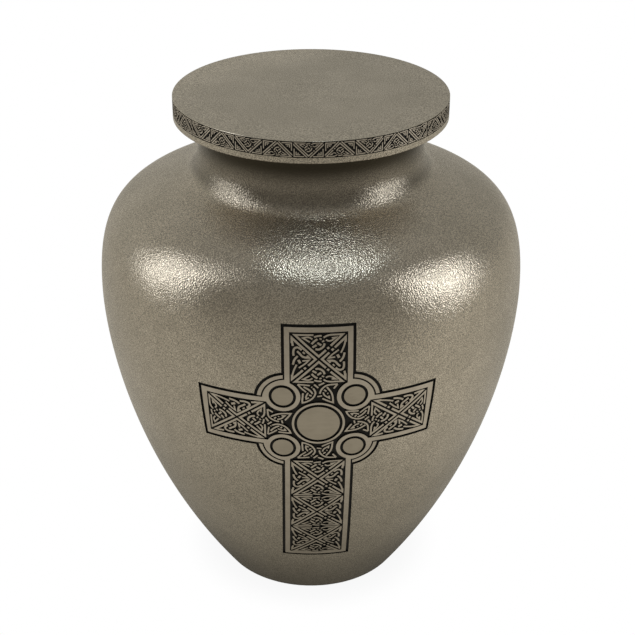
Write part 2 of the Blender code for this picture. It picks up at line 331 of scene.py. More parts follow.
def fill(loops: list[Points], rule: Rule, edge_step: float, spacing: float = 0.0) -> Region:
    """Cuts the region that outlines cover into triangles.

    Args:
        loops: The outlines.
        rule: How they combine.
        edge_step: The longest step along an outline.
        spacing: The spacing of a square grid of points inside it, or 0 for none.

    Returns:
        The region.
    """
    dense = [dense_loop(loop, edge_step) for loop in loops]
    return region_of(dense, lambda points: covered(points, dense, rule), spacing)


# Surfaces that carry the drawing

class Surface:
    """A curved face that a flat drawing is laid on."""

    def place(self, flat: Points, height: float) -> Points:
        """Points of a flat drawing in space, at a height above the face."""
        raise NotImplementedError


@dataclass(frozen=True)
class VesselShape:
    """The vessel's outline, as (radius, z): a flank curve from the foot to the widest place, a
    shoulder curve up to the neck's fillet, and the straight neck."""

    body_radius: float = 0.0910
    widest_z: float = 0.1402
    foot_radius: float = 0.0420
    flank_angle: float = math.radians(55.9)
    flank_reach: float = 0.0764
    widest_reach_down: float = 0.0195
    widest_reach_up: float = 0.0415
    shoulder_radius: float = 0.0548
    shoulder_z: float = 0.1894
    shoulder_slope: float = math.radians(24.7)
    shoulder_reach: float = 0.0233
    neck_radius: float = 0.0475
    neck_fillet: float = 0.0125
    rim_z: float = 0.2140
    wall: float = 0.0020
    base: float = 0.0030
    edge: float = 0.0007
    fine_steps: int = 160

    def outside(self) -> Points:
        """The outer outline from the foot's edge up to the rim's edge."""
        foot = np.array([self.foot_radius, 0.0])
        widest = np.array([self.body_radius, self.widest_z])
        shoulder = np.array([self.shoulder_radius, self.shoulder_z])
        rise = np.array([math.cos(self.flank_angle), math.sin(self.flank_angle)])
        slope = np.array([math.cos(self.shoulder_slope), -math.sin(self.shoulder_slope)])
        flank = bezier(np.array([foot, foot + self.flank_reach * rise,
                                 widest - [0.0, self.widest_reach_down], widest]), self.fine_steps)
        crown = bezier(np.array([widest, widest + [0.0, self.widest_reach_up],
                                 shoulder + self.shoulder_reach * slope, shoulder]), self.fine_steps)
        turn = math.pi / 2 - self.shoulder_slope
        centre = np.array([self.neck_radius + self.neck_fillet,
                           self.shoulder_z + self.neck_fillet * math.sin(turn)])
        fillet = arc(centre, self.neck_fillet, math.pi + turn, math.pi, self.fine_steps // 4)
        neck = np.linspace(fillet[-1], [self.neck_radius, self.rim_z], self.fine_steps // 8)
        return np.vstack([flank, crown[1:], fillet[1:], neck[1:]])

    def inside(self) -> Points:
        """The wall's inner face from the rim down to the base, a wall's thickness inside."""
        outline = self.outside()
        along = unit(np.gradient(outline, axis=0))
        inner = outline + self.wall * np.stack([-along[:, 1], along[:, 0]], axis=1)
        inner = inner[inner[:, 1] > self.base]
        inner[-1] = [self.neck_radius - self.wall, self.rim_z]
        return inner[::-1]


class Wall(Surface):
    """The vessel's outer face. The stem of the cross is as wide all the way down, and its arms end
    on a meridian, so a place beyond the stem keeps its angle round the axis."""

    def __init__(self, outline: Points, centre_z: float, stem_half: float) -> None:
        """Reads the outline's running length, and where the cross's centre is on it.

        Args:
            outline: The outer outline as (radius, z), rising.
            centre_z: The height of the cross's centre.
            stem_half: Half the stem's width.
        """
        self.outline = outline
        self.run = run_along(outline)
        along = unit(np.gradient(outline, axis=0))
        self.out = np.stack([along[:, 1], -along[:, 0]], axis=1)
        self.centre_run = float(np.interp(centre_z, outline[:, 1], self.run))
        self.centre_radius = float(np.interp(self.centre_run, self.run, outline[:, 0]))
        self.stem_half = stem_half

    def turn_and_run(self, flat: Points) -> tuple[Points, Points]:
        """The angle round the axis and the running length of places on the front.

        Args:
            flat: Places (u, v).

        Returns:
            The angles, 0 at the front and growing to the right, and the running lengths.
        """
        run = self.centre_run + flat[:, 1]
        radius = np.interp(run, self.run, self.outline[:, 0])
        in_stem = np.clip(flat[:, 0], -self.stem_half, self.stem_half)
        return in_stem / radius + (flat[:, 0] - in_stem) / self.centre_radius, run

    def at(self, turn: Points, run: Points, height: float = 0.0) -> Points:
        """Points of the face: the outline's point, moved out along its normal, turned about Z.

        Args:
            turn: Angles round the axis.
            run: Running lengths along the outline.
            height: How far above the face.

        Returns:
            Points in space.
        """
        raised = self.outline + height * self.out
        radius, z = (np.interp(run, self.run, raised[:, k]) for k in (0, 1))
        return np.stack([radius * np.sin(turn), -radius * np.cos(turn), z], axis=-1)

    def place(self, flat: Points, height: float) -> Points:
        """Places (u, v) in space, at a height above the wall."""
        turn, run = self.turn_and_run(flat)
        return self.at(turn, run, height)


@dataclass(frozen=True)
class RoundSide(Surface):
    """An upright round face: u runs round it and v is the height above the floor."""

    radius: float
    turn: float = 0.0

    def place(self, flat: Points, height: float) -> Points:
        """Places (u, v) in space: the angle is u over the radius."""
        angle = flat[:, 0] / self.radius + self.turn
        out = self.radius + height
        return np.stack([out * np.sin(angle), -out * np.cos(angle), flat[:, 1]], axis=-1)


# Meshes

@dataclass
class MeshParts:
    """Vertices and faces gathered for one piece, each face with the number of its finish."""

    vertices: list[Points] = field(default_factory=list)
    faces: list[list[int]] = field(default_factory=list)
    finish: list[int] = field(default_factory=list)
    count: int = 0

    def add_vertices(self, points: Points) -> int:
        """Adds points and returns the number of the first."""
        self.vertices.append(points)
        self.count += len(points)
        return self.count - len(points)

    def add_faces(self, faces: Points, finish: int) -> None:
        """Adds faces, each a row of vertex numbers."""
        self.faces += faces.tolist()
        self.finish += [finish] * len(faces)


def add_plate(parts: MeshParts, region: Region, surface: Surface, top: float, bottom: float,
              finishes: tuple[int, int]) -> None:
    """Adds a plate that stands on a surface: the region at its top, the same turned over at its
    bottom, and an upright wall under every rim edge.

    Args:
        parts: What the plate is added to.
        region: Its flat shape.
        surface: The face that it follows.
        top: Height of its upper face.
        bottom: Height of its lower face.
        finishes: Numbers of the finish on its top and on its walls.
    """
    upper = parts.add_vertices(surface.place(region.points, top))
    lower = parts.add_vertices(surface.place(region.points, bottom))
    a, b = region.rims[:, 0], region.rims[:, 1]
    parts.add_faces(region.triangles + upper, finishes[0])
    parts.add_faces(region.triangles[:, ::-1] + lower, finishes[1])
    parts.add_faces(np.stack([a + upper, a + lower, b + lower, b + upper], axis=1), finishes[1])


def publish(name: str, parts: MeshParts, finishes: list[bpy.types.Material],
            replaces: str = "", sharp: float = math.radians(32)) -> bpy.types.Object:
    """Makes a piece of the gathered mesh, drops vertices that no face uses, and lets it ride.

    Args:
        name: The piece's name.
        parts: Its vertices and faces.
        finishes: Its materials, in the order of the faces' finish numbers.
        replaces: The solid that it stands for, if any.
        sharp: Edges bent more than this stay crisp.

    Returns:
        The object.
    """
    vertices = np.vstack(parts.vertices)
    lengths = np.array([len(face) for face in parts.faces])
    corners = np.fromiter((number for face in parts.faces for number in face), int, int(lengths.sum()))
    used, corners = np.unique(corners, return_inverse=True)
    mesh = bpy.data.meshes.new(name)
    mesh.vertices.add(len(used))
    mesh.vertices.foreach_set("co", vertices[used].astype(np.float32).ravel())
    mesh.loops.add(len(corners))
    mesh.loops.foreach_set("vertex_index", corners.astype(np.int32).ravel())
    mesh.polygons.add(len(lengths))
    mesh.polygons.foreach_set("loop_start", (np.cumsum(lengths) - lengths).astype(np.int32))
    for finish in finishes:
        mesh.materials.append(finish)
    mesh.polygons.foreach_set("material_index", np.array(parts.finish, np.int32))
    mesh.update(calc_edges=True)
    mesh.validate()
    mesh.shade_smooth()
    mesh.set_sharp_from_angle(angle=sharp)
    piece = bpy.data.objects.new(name, mesh)
    bpy.context.scene.collection.objects.link(piece)
    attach(piece, BODY)
    if replaces:
        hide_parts(replaces)
    LOG.info("%s: %d triangles", name, int((lengths - 2).sum()))
    return piece


def lathe(parts: MeshParts, profile: Points, columns: int, finish_of_row: Points) -> int:
    """Adds a closed turned surface: each profile point is carried round Z, and the first and last
    points lie on the axis and close it.

    Args:
        parts: What it is added to.
        profile: (radius, z) from the axis, out, round and back to the axis.
        columns: How many columns go round.
        finish_of_row: The finish number of the faces above each profile point.

    Returns:
        The number of the first vertex of the second profile point's ring.
    """
    rings = profile[1:-1]
    turn = -math.pi + 2 * math.pi * np.arange(columns) / columns
    grid = np.stack([rings[:, :1] * np.sin(turn), -rings[:, :1] * np.cos(turn),
                     np.broadcast_to(rings[:, 1:], (len(rings), columns))], axis=-1)
    first = parts.add_vertices(grid.reshape(-1, 3))
    poles = parts.add_vertices(np.array([[0.0, 0.0, profile[0, 1]], [0.0, 0.0, profile[-1, 1]]]))
    column = np.arange(columns)
    ahead = (column + 1) % columns
    for row in range(len(rings) - 1):
        low, high = first + row * columns, first + (row + 1) * columns
        parts.add_faces(np.stack([low + column, low + ahead, high + ahead, high + column], axis=1),
                        int(finish_of_row[row + 1]))
    last = first + (len(rings) - 1) * columns
    parts.add_faces(np.stack([np.full(columns, poles), first + ahead, first + column], axis=1),
                    int(finish_of_row[0]))
    parts.add_faces(np.stack([last + column, last + ahead, np.full(columns, poles + 1)], axis=1),
                    int(finish_of_row[-2]))
    return first


# Finishes

class NodeMaker:
    """Adds nodes to a tree in few words."""

    def __init__(self, tree: bpy.types.NodeTree) -> None:
        """Keeps the tree."""
        self.tree = tree

    def add(self, kind: str, settings: dict[str, object] | None = None,
            inputs: dict[object, object] | None = None) -> bpy.types.Node:
        """Adds a node.

        Args:
            kind: The node's type.
            settings: Its properties by name.
            inputs: Its inputs by name or number, each a value or an output to link.

        Returns:
            The node.
        """
        node = self.tree.nodes.new(kind)
        for name, value in (settings or {}).items():
            setattr(node, name, value)
        for name, value in (inputs or {}).items():
            if isinstance(value, bpy.types.NodeSocket):
                self.tree.links.new(value, node.inputs[name])
            else:
                node.inputs[name].default_value = value
        return node

    def math(self, operation: str, *values: object) -> bpy.types.NodeSocket:
        """The result of a Math node."""
        return self.add("ShaderNodeMath", {"operation": operation}, dict(enumerate(values))).outputs[0]

    def ramp(self, value: object, low: float, high: float, start: float, stop: float,
             smooth: bool = True) -> bpy.types.NodeSocket:
        """A value carried from one range to another.

        Args:
            value: The value or output to read.
            low: The start of its range.
            high: The end of its range.
            start: What low becomes.
            stop: What high becomes.
            smooth: Whether it eases in and out.

        Returns:
            The result.
        """
        kind = "SMOOTHSTEP" if smooth else "LINEAR"
        return self.add("ShaderNodeMapRange", {"interpolation_type": kind},
                        {0: value, 1: low, 2: high, 3: start, 4: stop}).outputs[0]

    def noise(self, place: object, scale: float, detail: float = 2.0,
              roughness: float = 0.5) -> bpy.types.NodeSocket:
        """Soft noise from 0 to 1."""
        return self.add("ShaderNodeTexNoise", {}, {"Vector": place, "Scale": scale, "Detail": detail,
                                                   "Roughness": roughness}).outputs[0]

    def blend(self, share: object, first: object, second: object,
              kind: str = "MIX") -> bpy.types.NodeSocket:
        """Two colours blended.

        Args:
            share: How much of the second.
            first: The first colour, as values or an output.
            second: The second.
            kind: How they are blended.

        Returns:
            The colour.
        """
        settings = {"data_type": "RGBA", "blend_type": kind, "clamp_factor": False}
        return self.add("ShaderNodeMix", settings, {0: share, 6: first, 7: second}).outputs[2]

    def sum_of(self, first: object, second: object) -> bpy.types.NodeSocket:
        """Two colours added."""
        return self.blend(1.0, first, second, "ADD")

    def scaled(self, colour: object, factor: object) -> bpy.types.NodeSocket:
        """A colour times a factor."""
        return self.add("ShaderNodeVectorMath", {"operation": "SCALE"},
                        {0: colour, "Scale": factor}).outputs[0]

    def along(self, across: object, depth: object, way: tuple[float, float]) -> bpy.types.NodeSocket:
        """How far a place lies along a level direction: x and y, each times the direction's own."""
        return self.math("MULTIPLY_ADD", across, way[0], self.math("MULTIPLY", depth, way[1]))

    def link(self, value: bpy.types.NodeSocket, shader: bpy.types.Node, name: str) -> None:
        """Links a value to a shader's input."""
        self.tree.links.new(value, shader.inputs[name])

    def bump(self, shader: bpy.types.Node, height: object, strength: float, distance: float) -> None:
        """Roughens a shader's surface by a height.

        Args:
            shader: The shader.
            height: The height, from 0 to 1.
            strength: How much of the bump is felt.
            distance: The real height that 1 stands for.
        """
        inputs = {"Strength": strength, "Distance": distance, "Height": height}
        self.link(self.add("ShaderNodeBump", {}, inputs).outputs[0], shader, "Normal")


def new_material(name: str) -> tuple[bpy.types.Material, NodeMaker, bpy.types.Node, bpy.types.NodeSocket]:
    """A material with its shader and the piece's own coordinates.

    Args:
        name: The material's name.

    Returns:
        The material, its node maker, its Principled shader and the object coordinates.
    """
    material = bpy.data.materials.new(name)
    material.use_nodes = True
    maker = NodeMaker(material.node_tree)
    shader = material.node_tree.nodes["Principled BSDF"]
    place = maker.add("ShaderNodeTexCoord").outputs["Object"]
    return material, maker, shader, place


@dataclass(frozen=True)
class GrainMetal:
    """Grained metal, like fine leather: a pebbled bump with paler and darker grains, faintly
    cloudy, with painted shade on the neck under the lid, and a painted highlight along the lid's
    far left edge for the light on its dome. The neck_shade pairs and dome_highlight_from are
    heights over which a tone comes or goes. dome_highlight_way is a level direction, and
    dome_highlight_reach the distances along it over which the painted highlight comes."""

    name: str = "grain_metal"
    light: tuple[float, ...] = (0.61, 0.56, 0.475, 1.0)
    dark: tuple[float, ...] = (0.55, 0.505, 0.425, 1.0)
    cloud: float = 55.0
    fleck: float = 0.36
    # painted shade under the lid: the neck and its fillet darken towards the rim
    neck_shade_colour: tuple[float, ...] = (0.055, 0.047, 0.032, 1.0)
    neck_shade_low: tuple[float, float] = (0.1905, 0.1945)
    neck_shade_high: tuple[float, float] = (0.199, 0.2085)
    neck_shade_share: float = 0.55
    neck_shade_end: tuple[float, float] = (0.2136, 0.2142)
    # painted highlight: the lid top is paler along its far left edge, for the light on its dome
    dome_highlight_way: tuple[float, float] = (-0.64, 0.77)
    dome_highlight_reach: tuple[float, float] = (0.022, 0.052)
    dome_highlight_from: tuple[float, float] = (0.2228, 0.2232)
    dome_highlight_gain: float = 0.22
    roughness: float = 0.15
    patchiness: float = 0.04
    pebble: float = 1500.0
    fine: float = 2700.0
    fine_share: float = 0.6
    bump: float = 0.18
    bump_height: float = 1.0 * MM
    metallic: float = 0.85

    def material(self) -> bpy.types.Material:
        """Builds the material."""
        material, maker, shader, place = new_material(self.name)
        grains = maker.noise(place, self.fine, 0.0)
        pebbles = maker.math("MULTIPLY_ADD", grains, self.fine_share,
                             maker.noise(place, self.pebble, 0.0))
        clouds = maker.noise(place, self.cloud, 5.0, 0.62)
        maker.link(self.colour(maker, place, grains, clouds), shader, "Base Color")
        shader.inputs["Metallic"].default_value = self.metallic
        patchy = maker.ramp(clouds, 0.3, 0.7, self.roughness + self.patchiness,
                            self.roughness - self.patchiness)
        maker.link(patchy, shader, "Roughness")
        maker.bump(shader, pebbles, self.bump, self.bump_height)
        return material

    def colour(self, maker: NodeMaker, place: bpy.types.NodeSocket, grains: bpy.types.NodeSocket,
               clouds: bpy.types.NodeSocket) -> bpy.types.NodeSocket:
        """The colour: cloudy, flecked by the grains, with a painted highlight on the lid's edge and
        painted shade on the neck.

        Args:
            maker: The material's node maker.
            place: Object coordinates.
            grains: The fine grain's noise.
            clouds: The broad noise.

        Returns:
            The colour.
        """
        across, depth, height = maker.add("ShaderNodeSeparateXYZ", {}, {0: place}).outputs
        clean = maker.blend(maker.ramp(clouds, 0.32, 0.68, 0.0, 1.0), self.dark, self.light)
        clean = maker.scaled(clean, maker.ramp(grains, 0.3, 0.7, 1.0 - self.fleck, 1.0 + self.fleck))
        # painted highlight on the lid top's far left edge
        far = maker.along(across, depth, self.dome_highlight_way)
        dome_highlight = maker.math("MULTIPLY", maker.ramp(far, *self.dome_highlight_reach, 0.0, self.dome_highlight_gain),
                          maker.ramp(height, *self.dome_highlight_from, 0.0, 1.0))
        clean = maker.scaled(clean, maker.math("ADD", dome_highlight, 1.0))
        # painted shade under the lid, rising up the neck and stopping just below the rim
        under = maker.math("ADD", maker.ramp(height, *self.neck_shade_low, 0.0, self.neck_shade_share),
                           maker.ramp(height, *self.neck_shade_high, 0.0, 1.0 - self.neck_shade_share))
        under = maker.math("MULTIPLY", under, maker.ramp(height, *self.neck_shade_end, 1.0, 0.0))
        return maker.blend(under, clean, self.neck_shade_colour)


@dataclass(frozen=True)
class SmoothMetal:
    """Smooth metal with faint wear in it, which stretch draws out along X, Y or Z."""

    name: str
    light: tuple[float, ...]
    dark: tuple[float, ...]
    roughness: float
    stretch: tuple[float, float, float] = (1.0, 1.0, 1.0)
    wear: float = 900.0
    cloud: float = 160.0
    worn_roughness: tuple[float, float] = (-0.04, 0.06)
    bump: float = 0.05
    bump_height: float = 0.5 * MM

    def material(self) -> bpy.types.Material:
        """Builds the material."""
        material, maker, shader, place = new_material(self.name)
        stretched = maker.add("ShaderNodeMapping", {}, {"Vector": place, "Scale": self.stretch}).outputs[0]
        wear = maker.noise(stretched, self.wear, 3.0, 0.6)
        clouds = maker.noise(place, self.cloud, 3.0, 0.5)
        tone = maker.math("MULTIPLY_ADD", clouds, 0.5, maker.math("MULTIPLY", wear, 0.5))
        colour = maker.blend(maker.ramp(tone, 0.35, 0.65, 0.0, 1.0), self.dark, self.light)
        maker.link(colour, shader, "Base Color")
        shader.inputs["Metallic"].default_value = 1.0
        smoother, rougher = (self.roughness + change for change in self.worn_roughness)
        maker.link(maker.ramp(wear, 0.3, 0.7, smoother, rougher), shader, "Roughness")
        maker.bump(shader, wear, self.bump, self.bump_height)
        return material


CROSS_METAL = SmoothMetal("smooth_metal", (0.71, 0.655, 0.57, 1.0), (0.61, 0.555, 0.475, 1.0), 0.34)
DISC_METAL = SmoothMetal("brushed_metal", (0.56, 0.51, 0.425, 1.0), (0.48, 0.435, 0.36, 1.0), 0.36,
                         (0.12, 1.0, 1.0))
EDGE_METAL = SmoothMetal("polished_edge", (0.86, 0.80, 0.68, 1.0), (0.80, 0.74, 0.62, 1.0), 0.18)
INNER_METAL = SmoothMetal("inner_metal", (0.50, 0.44, 0.34, 1.0), (0.42, 0.37, 0.28, 1.0), 0.5)
BAND_METAL = SmoothMetal("band_metal", (0.74, 0.685, 0.60, 1.0), (0.63, 0.575, 0.495, 1.0), 0.44)


@dataclass(frozen=True)
class Enamel:
    """Black enamel that fills what is sunk, with a little dust on it."""

    name: str = "black_enamel"
    colour: tuple[float, ...] = (0.006, 0.006, 0.006, 1.0)
    dust: tuple[float, ...] = (0.014, 0.013, 0.012, 1.0)
    speck: float = 700.0
    roughness: float = 0.45
    shine: float = 0.25
    bump: float = 0.1
    bump_height: float = 0.3 * MM

    def material(self) -> bpy.types.Material:
        """Builds the material."""
        material, maker, shader, place = new_material(self.name)
        specks = maker.noise(place, self.speck, 3.0, 0.6)
        colour = maker.blend(maker.ramp(specks, 0.4, 0.7, 0.0, 1.0), self.colour, self.dust)
        maker.link(colour, shader, "Base Color")
        shader.inputs["Roughness"].default_value = self.roughness
        shader.inputs["Specular IOR Level"].default_value = self.shine
        maker.bump(shader, specks, self.bump, self.bump_height)
        return material


# The cross

@dataclass(frozen=True)
class Strand:
    """One strand of the knotwork: a line through points, sharp at the numbered corners."""

    points: tuple[tuple[float, float], ...]
    width: float = 0.82 * MM
    corners: tuple[int, ...] = ()


def ribbon(line: Points, width: float) -> Points:
    """The outline of a strand: its line moved half the width to the left, and back on the right."""
    along = unit(np.gradient(line, axis=0))
    side = np.stack([-along[:, 1], along[:, 0]], axis=1) * width / 2
    return np.vstack([line + side, (line - side)[::-1]])


def mitre(before: Points, corner: Points, after: Points, width: float, limit: float = 3.5) -> Points:
    """The wedge that fills a strand's sharp corner: from the corner to where its outer edges meet.

    Args:
        before: The point before the corner.
        corner: The corner.
        after: The point after it.
        width: The strand's width.
        limit: The longest point allowed, in half widths.

    Returns:
        The wedge's outline.
    """
    a, b = unit(corner - before), unit(after - corner)
    outer = -math.copysign(1.0, a[0] * b[1] - a[1] * b[0])
    first = outer * np.array([-a[1], a[0]])
    second = outer * np.array([-b[1], b[0]])
    middle = unit(first + second)
    reach = min(1.0 / max(float(middle @ first), 1e-6), limit)
    ways = np.array([np.zeros(2), first, middle * reach, second])
    return corner + ways * width / 2


def strand_outlines(points: Points, width: float, corners: tuple[int, ...] = ()) -> list[Points]:
    """The outlines that make up one strand: a ribbon for each smooth run, and a wedge at each
    sharp corner.

    Args:
        points: The strand's points on the drawing.
        width: Its width.
        corners: Which points are sharp corners.

    Returns:
        The outlines.
    """
    stops = [0, *corners, len(points) - 1]
    runs = [points[low:high + 1] for low, high in zip(stops, stops[1:])]
    loops = [ribbon(curve_through(run), width) for run in runs]
    return loops + [mitre(points[k - 1], points[k], points[k + 1], width) for k in corners]


@dataclass(frozen=True)
class TriangleFrame:
    """One of the four triangles of a panel: its base corners, its apex, and the bands along its
    sides. A place in it is (a, b): a from -1 to 1 along the base, and b from 0 on the base to 1 at
    the apex."""

    first: tuple[float, float]
    second: tuple[float, float]
    apex: tuple[float, float]
    gap: float = 0.40 * MM
    side_band: float = 0.87 * MM
    base_band: float = 0.7 * MM

    def at(self, places: Points) -> Points:
        """Places (a, b) on the drawing: the base's middle plus a half bases plus b heights."""
        first, second, apex = (np.array(p) for p in (self.first, self.second, self.apex))
        middle = (first + second) / 2
        return middle + places[:, :1] * (second - first) / 2 + places[:, 1:] * (apex - middle)

    def side(self, start: int, stop: int, low: float, high: float) -> Points:
        """A stretch of the band along one side, mitred at the triangle's corners and cut square
        elsewhere. Corners are numbered 0 and 1 on the base and 2 at the apex.

        Args:
            start: The corner that it is measured from.
            stop: The corner that it runs to.
            low: Where it starts, as a share of the side.
            high: Where it ends.

        Returns:
            Its outline.
        """
        corners = np.array([self.first, self.second, self.apex])
        outer = inset_loop(corners, (0.0, self.gap, self.gap))
        inner = inset_loop(outer, (self.base_band, self.side_band, self.side_band))
        along = outer[stop] - outer[start]
        inner_shares = [(inner[k] - outer[start]) @ along / (along @ along) for k in (start, stop)]
        square = inner[start] - (outer[start] + along * inner_shares[0])
        ends = []
        for share in (low, high):
            edge = outer[start] + along * share
            if share <= 0.0:
                ends.append((edge, inner[start]))
            elif share >= 1.0:
                ends.append((edge, inner[stop]))
            else:
                ends.append((edge, edge + square))
        return np.array([ends[0][0], ends[1][0], ends[1][1], ends[0][1]])


class Knot(Enum):
    """The two knots that take turns round a panel."""

    ROUND = "a looped knot with a pointed leaf in each base corner"
    HOOKED = "a hook over a pointed leaf"


KNOT = 0.82 * MM
LEAF = 0.62 * MM
THIN = 0.68 * MM

BAND_PIECES = {
    Knot.ROUND: ((0, 1, 0.0, 0.40), (0, 2, 0.0, 1.0), (2, 1, 0.0, 0.30), (2, 1, 0.35, 0.42),
                 (2, 1, 0.48, 1.0), (0, 1, 0.72, 1.0)),
    Knot.HOOKED: ((0, 2, 0.0, 1.0), (0, 1, 0.0, 0.16), (2, 1, 0.0, 0.31), (2, 1, 0.40, 0.47),
                  (2, 1, 0.52, 1.0), (0, 1, 0.85, 1.0)),
}

STRANDS = {
    Knot.ROUND: (
        Strand(((0.46, 0.035), (0.36, 0.045), (0.27, 0.075), (0.17, 0.137)), THIN),
        Strand(((-0.118, 0.589), (-0.01, 0.605), (0.097, 0.556), (0.173, 0.476), (0.21, 0.363)), KNOT),
        Strand(((-0.225, 0.516), (-0.08, 0.427)), KNOT),
        Strand(((-0.256, 0.387), (-0.164, 0.282), (-0.05, 0.194)), KNOT),
        Strand(((-0.05, 0.339), (0.089, 0.435)), KNOT),
        Strand(((0.112, 0.298), (0.192, 0.258)), LEAF),
        Strand(((0.025, 0.166), (0.10, 0.205)), LEAF),
        Strand(((-0.164, 0.113), (-0.04, 0.073), (0.104, 0.06)), THIN),
        Strand(((0.258, 0.218), (0.357, 0.271), (0.48, 0.242), (0.61, 0.145), (0.465, 0.156)), LEAF, (3,)),
        Strand(((-0.225, 0.194), (-0.333, 0.129), (-0.425, 0.121), (-0.563, 0.15), (-0.317, 0.311)),
               LEAF, (3,)),
    ),
    Knot.HOOKED: (
        Strand(((-0.84, 0.03), (-0.70, 0.05), (-0.53, 0.075)), KNOT),
        Strand(((0.86, 0.035), (0.72, 0.05), (0.57, 0.077), (0.41, 0.13), (0.234, 0.207)), THIN),
        Strand(((-0.137, 0.10), (-0.298, 0.092), (-0.427, 0.13), (-0.476, 0.222), (-0.444, 0.314),
                (-0.371, 0.391)), KNOT),
        Strand(((-0.323, 0.23), (-0.234, 0.314), (-0.121, 0.406), (-0.073, 0.514), (-0.065, 0.652),
                (-0.153, 0.583)), KNOT, (4,)),
        Strand(((-0.298, 0.43), (-0.226, 0.50)), LEAF),
        Strand(((0.234, 0.077), (0.089, 0.107), (-0.024, 0.161), (-0.121, 0.245)), KNOT),
        Strand(((0.032, 0.268), (0.169, 0.337)), 1.0 * MM),
        Strand(((0.073, 0.414), (0.04, 0.644), (0.185, 0.514), (0.363, 0.284)), LEAF, (1,)),
    ),
}

SPANDREL = (
    Strand(((-8.48, 18.79), (-6.16, 18.61), (-3.57, 18.31)), LEAF),
    Strand(((-8.48, 18.70), (-6.87, 16.91), (-5.09, 15.31)), LEAF),
    Strand(((-6.07, 17.72), (-4.20, 16.56), (-2.95, 15.31), (-2.50, 14.41)), THIN),
    Strand(((-2.23, 17.09), (-1.34, 15.31), (-1.70, 13.52), (-2.95, 11.91), (-5.09, 10.66), (-6.52, 10.22),
            (-6.61, 11.38), (-6.34, 14.77)), THIN, (5,)),
    Strand(((-2.97, 17.64), (-2.57, 17.44)), LEAF),
    Strand(((-4.29, 14.95), (-5.09, 13.16), (-5.0, 12.09), (-3.93, 12.63)), LEAF, (2,)),
    Strand(((-3.84, 13.97), (-2.86, 13.43)), LEAF),
    Strand(((7.59, 18.70), (4.20, 18.52), (2.41, 17.81), (0.98, 16.2), (0.45, 14.50)), THIN),
    Strand(((7.59, 18.70), (6.07, 16.74)), THIN),
    Strand(((3.30, 17.54), (4.91, 15.31), (5.63, 13.16), (5.89, 10.13), (4.20, 10.84), (1.52, 12.27)),
           THIN, (3,)),
    Strand(((2.14, 16.29), (3.13, 15.58)), LEAF),
    Strand(((1.79, 15.13), (2.41, 13.70), (4.29, 12.36), (4.20, 13.52)), LEAF, (2,)),
    Strand(((3.46, 14.69), (3.86, 14.49)), LEAF),
    Strand(((-0.54, 13.16), (1.34, 13.52)), LEAF),
    Strand(((-1.87, 18.79), (-0.18, 17.27)), THIN),
    Strand(((0.0, 18.43), (2.23, 19.50)), THIN),
)


def triangle_outlines(triangle: TriangleFrame, knot: Knot, scale: float = 1.0) -> list[Points]:
    """Every outline of one triangle's knotwork: the pieces of its bands and its knot's strands.

    Args:
        triangle: The triangle.
        knot: Which knot it holds.
        scale: How wide its strands are, beside those of the cross.

    Returns:
        The outlines.
    """
    loops = [triangle.side(*piece) for piece in BAND_PIECES[knot]]
    for strand in STRANDS[knot]:
        points = triangle.at(np.array(strand.points))
        loops += strand_outlines(points, strand.width * scale, strand.corners)
    return loops


class Side(Enum):
    """The sides of a panel."""

    TOP = "top"
    BOTTOM = "bottom"
    LEFT = "left"
    RIGHT = "right"


@dataclass(frozen=True)
class Panel:
    """A square panel cut by its diagonals into four triangles. Each knot leans to one corner of its
    base, and leans names the sides where that is the left or the lower one."""

    left: float
    bottom: float
    right: float
    top: float
    leans_back: tuple[Side, ...]

    def outlines(self) -> list[Points]:
        """The outlines of all four triangles."""
        corners = {(x, y): (getattr(self, x), getattr(self, y))
                   for x in ("left", "right") for y in ("bottom", "top")}
        middle = ((self.left + self.right) / 2, (self.bottom + self.top) / 2)
        loops = []
        for side in Side:
            upright = side in (Side.TOP, Side.BOTTOM)
            ends = [corners[x, side.value] for x in ("left", "right")] if upright else \
                [corners[side.value, y] for y in ("bottom", "top")]
            if side in self.leans_back:
                ends.reverse()
            knot = Knot.ROUND if upright == self.stands() else Knot.HOOKED
            loops += triangle_outlines(TriangleFrame(ends[0], ends[1], middle), knot)
        return loops

    def stands(self) -> bool:
        """Whether the round knots are at the top and bottom, as in the stem."""
        return True


@dataclass(frozen=True)
class ArmPanel(Panel):
    """A panel in an arm, where the round knots are at the left and right."""

    def stands(self) -> bool:
        """The round knots lie on their sides."""
        return False


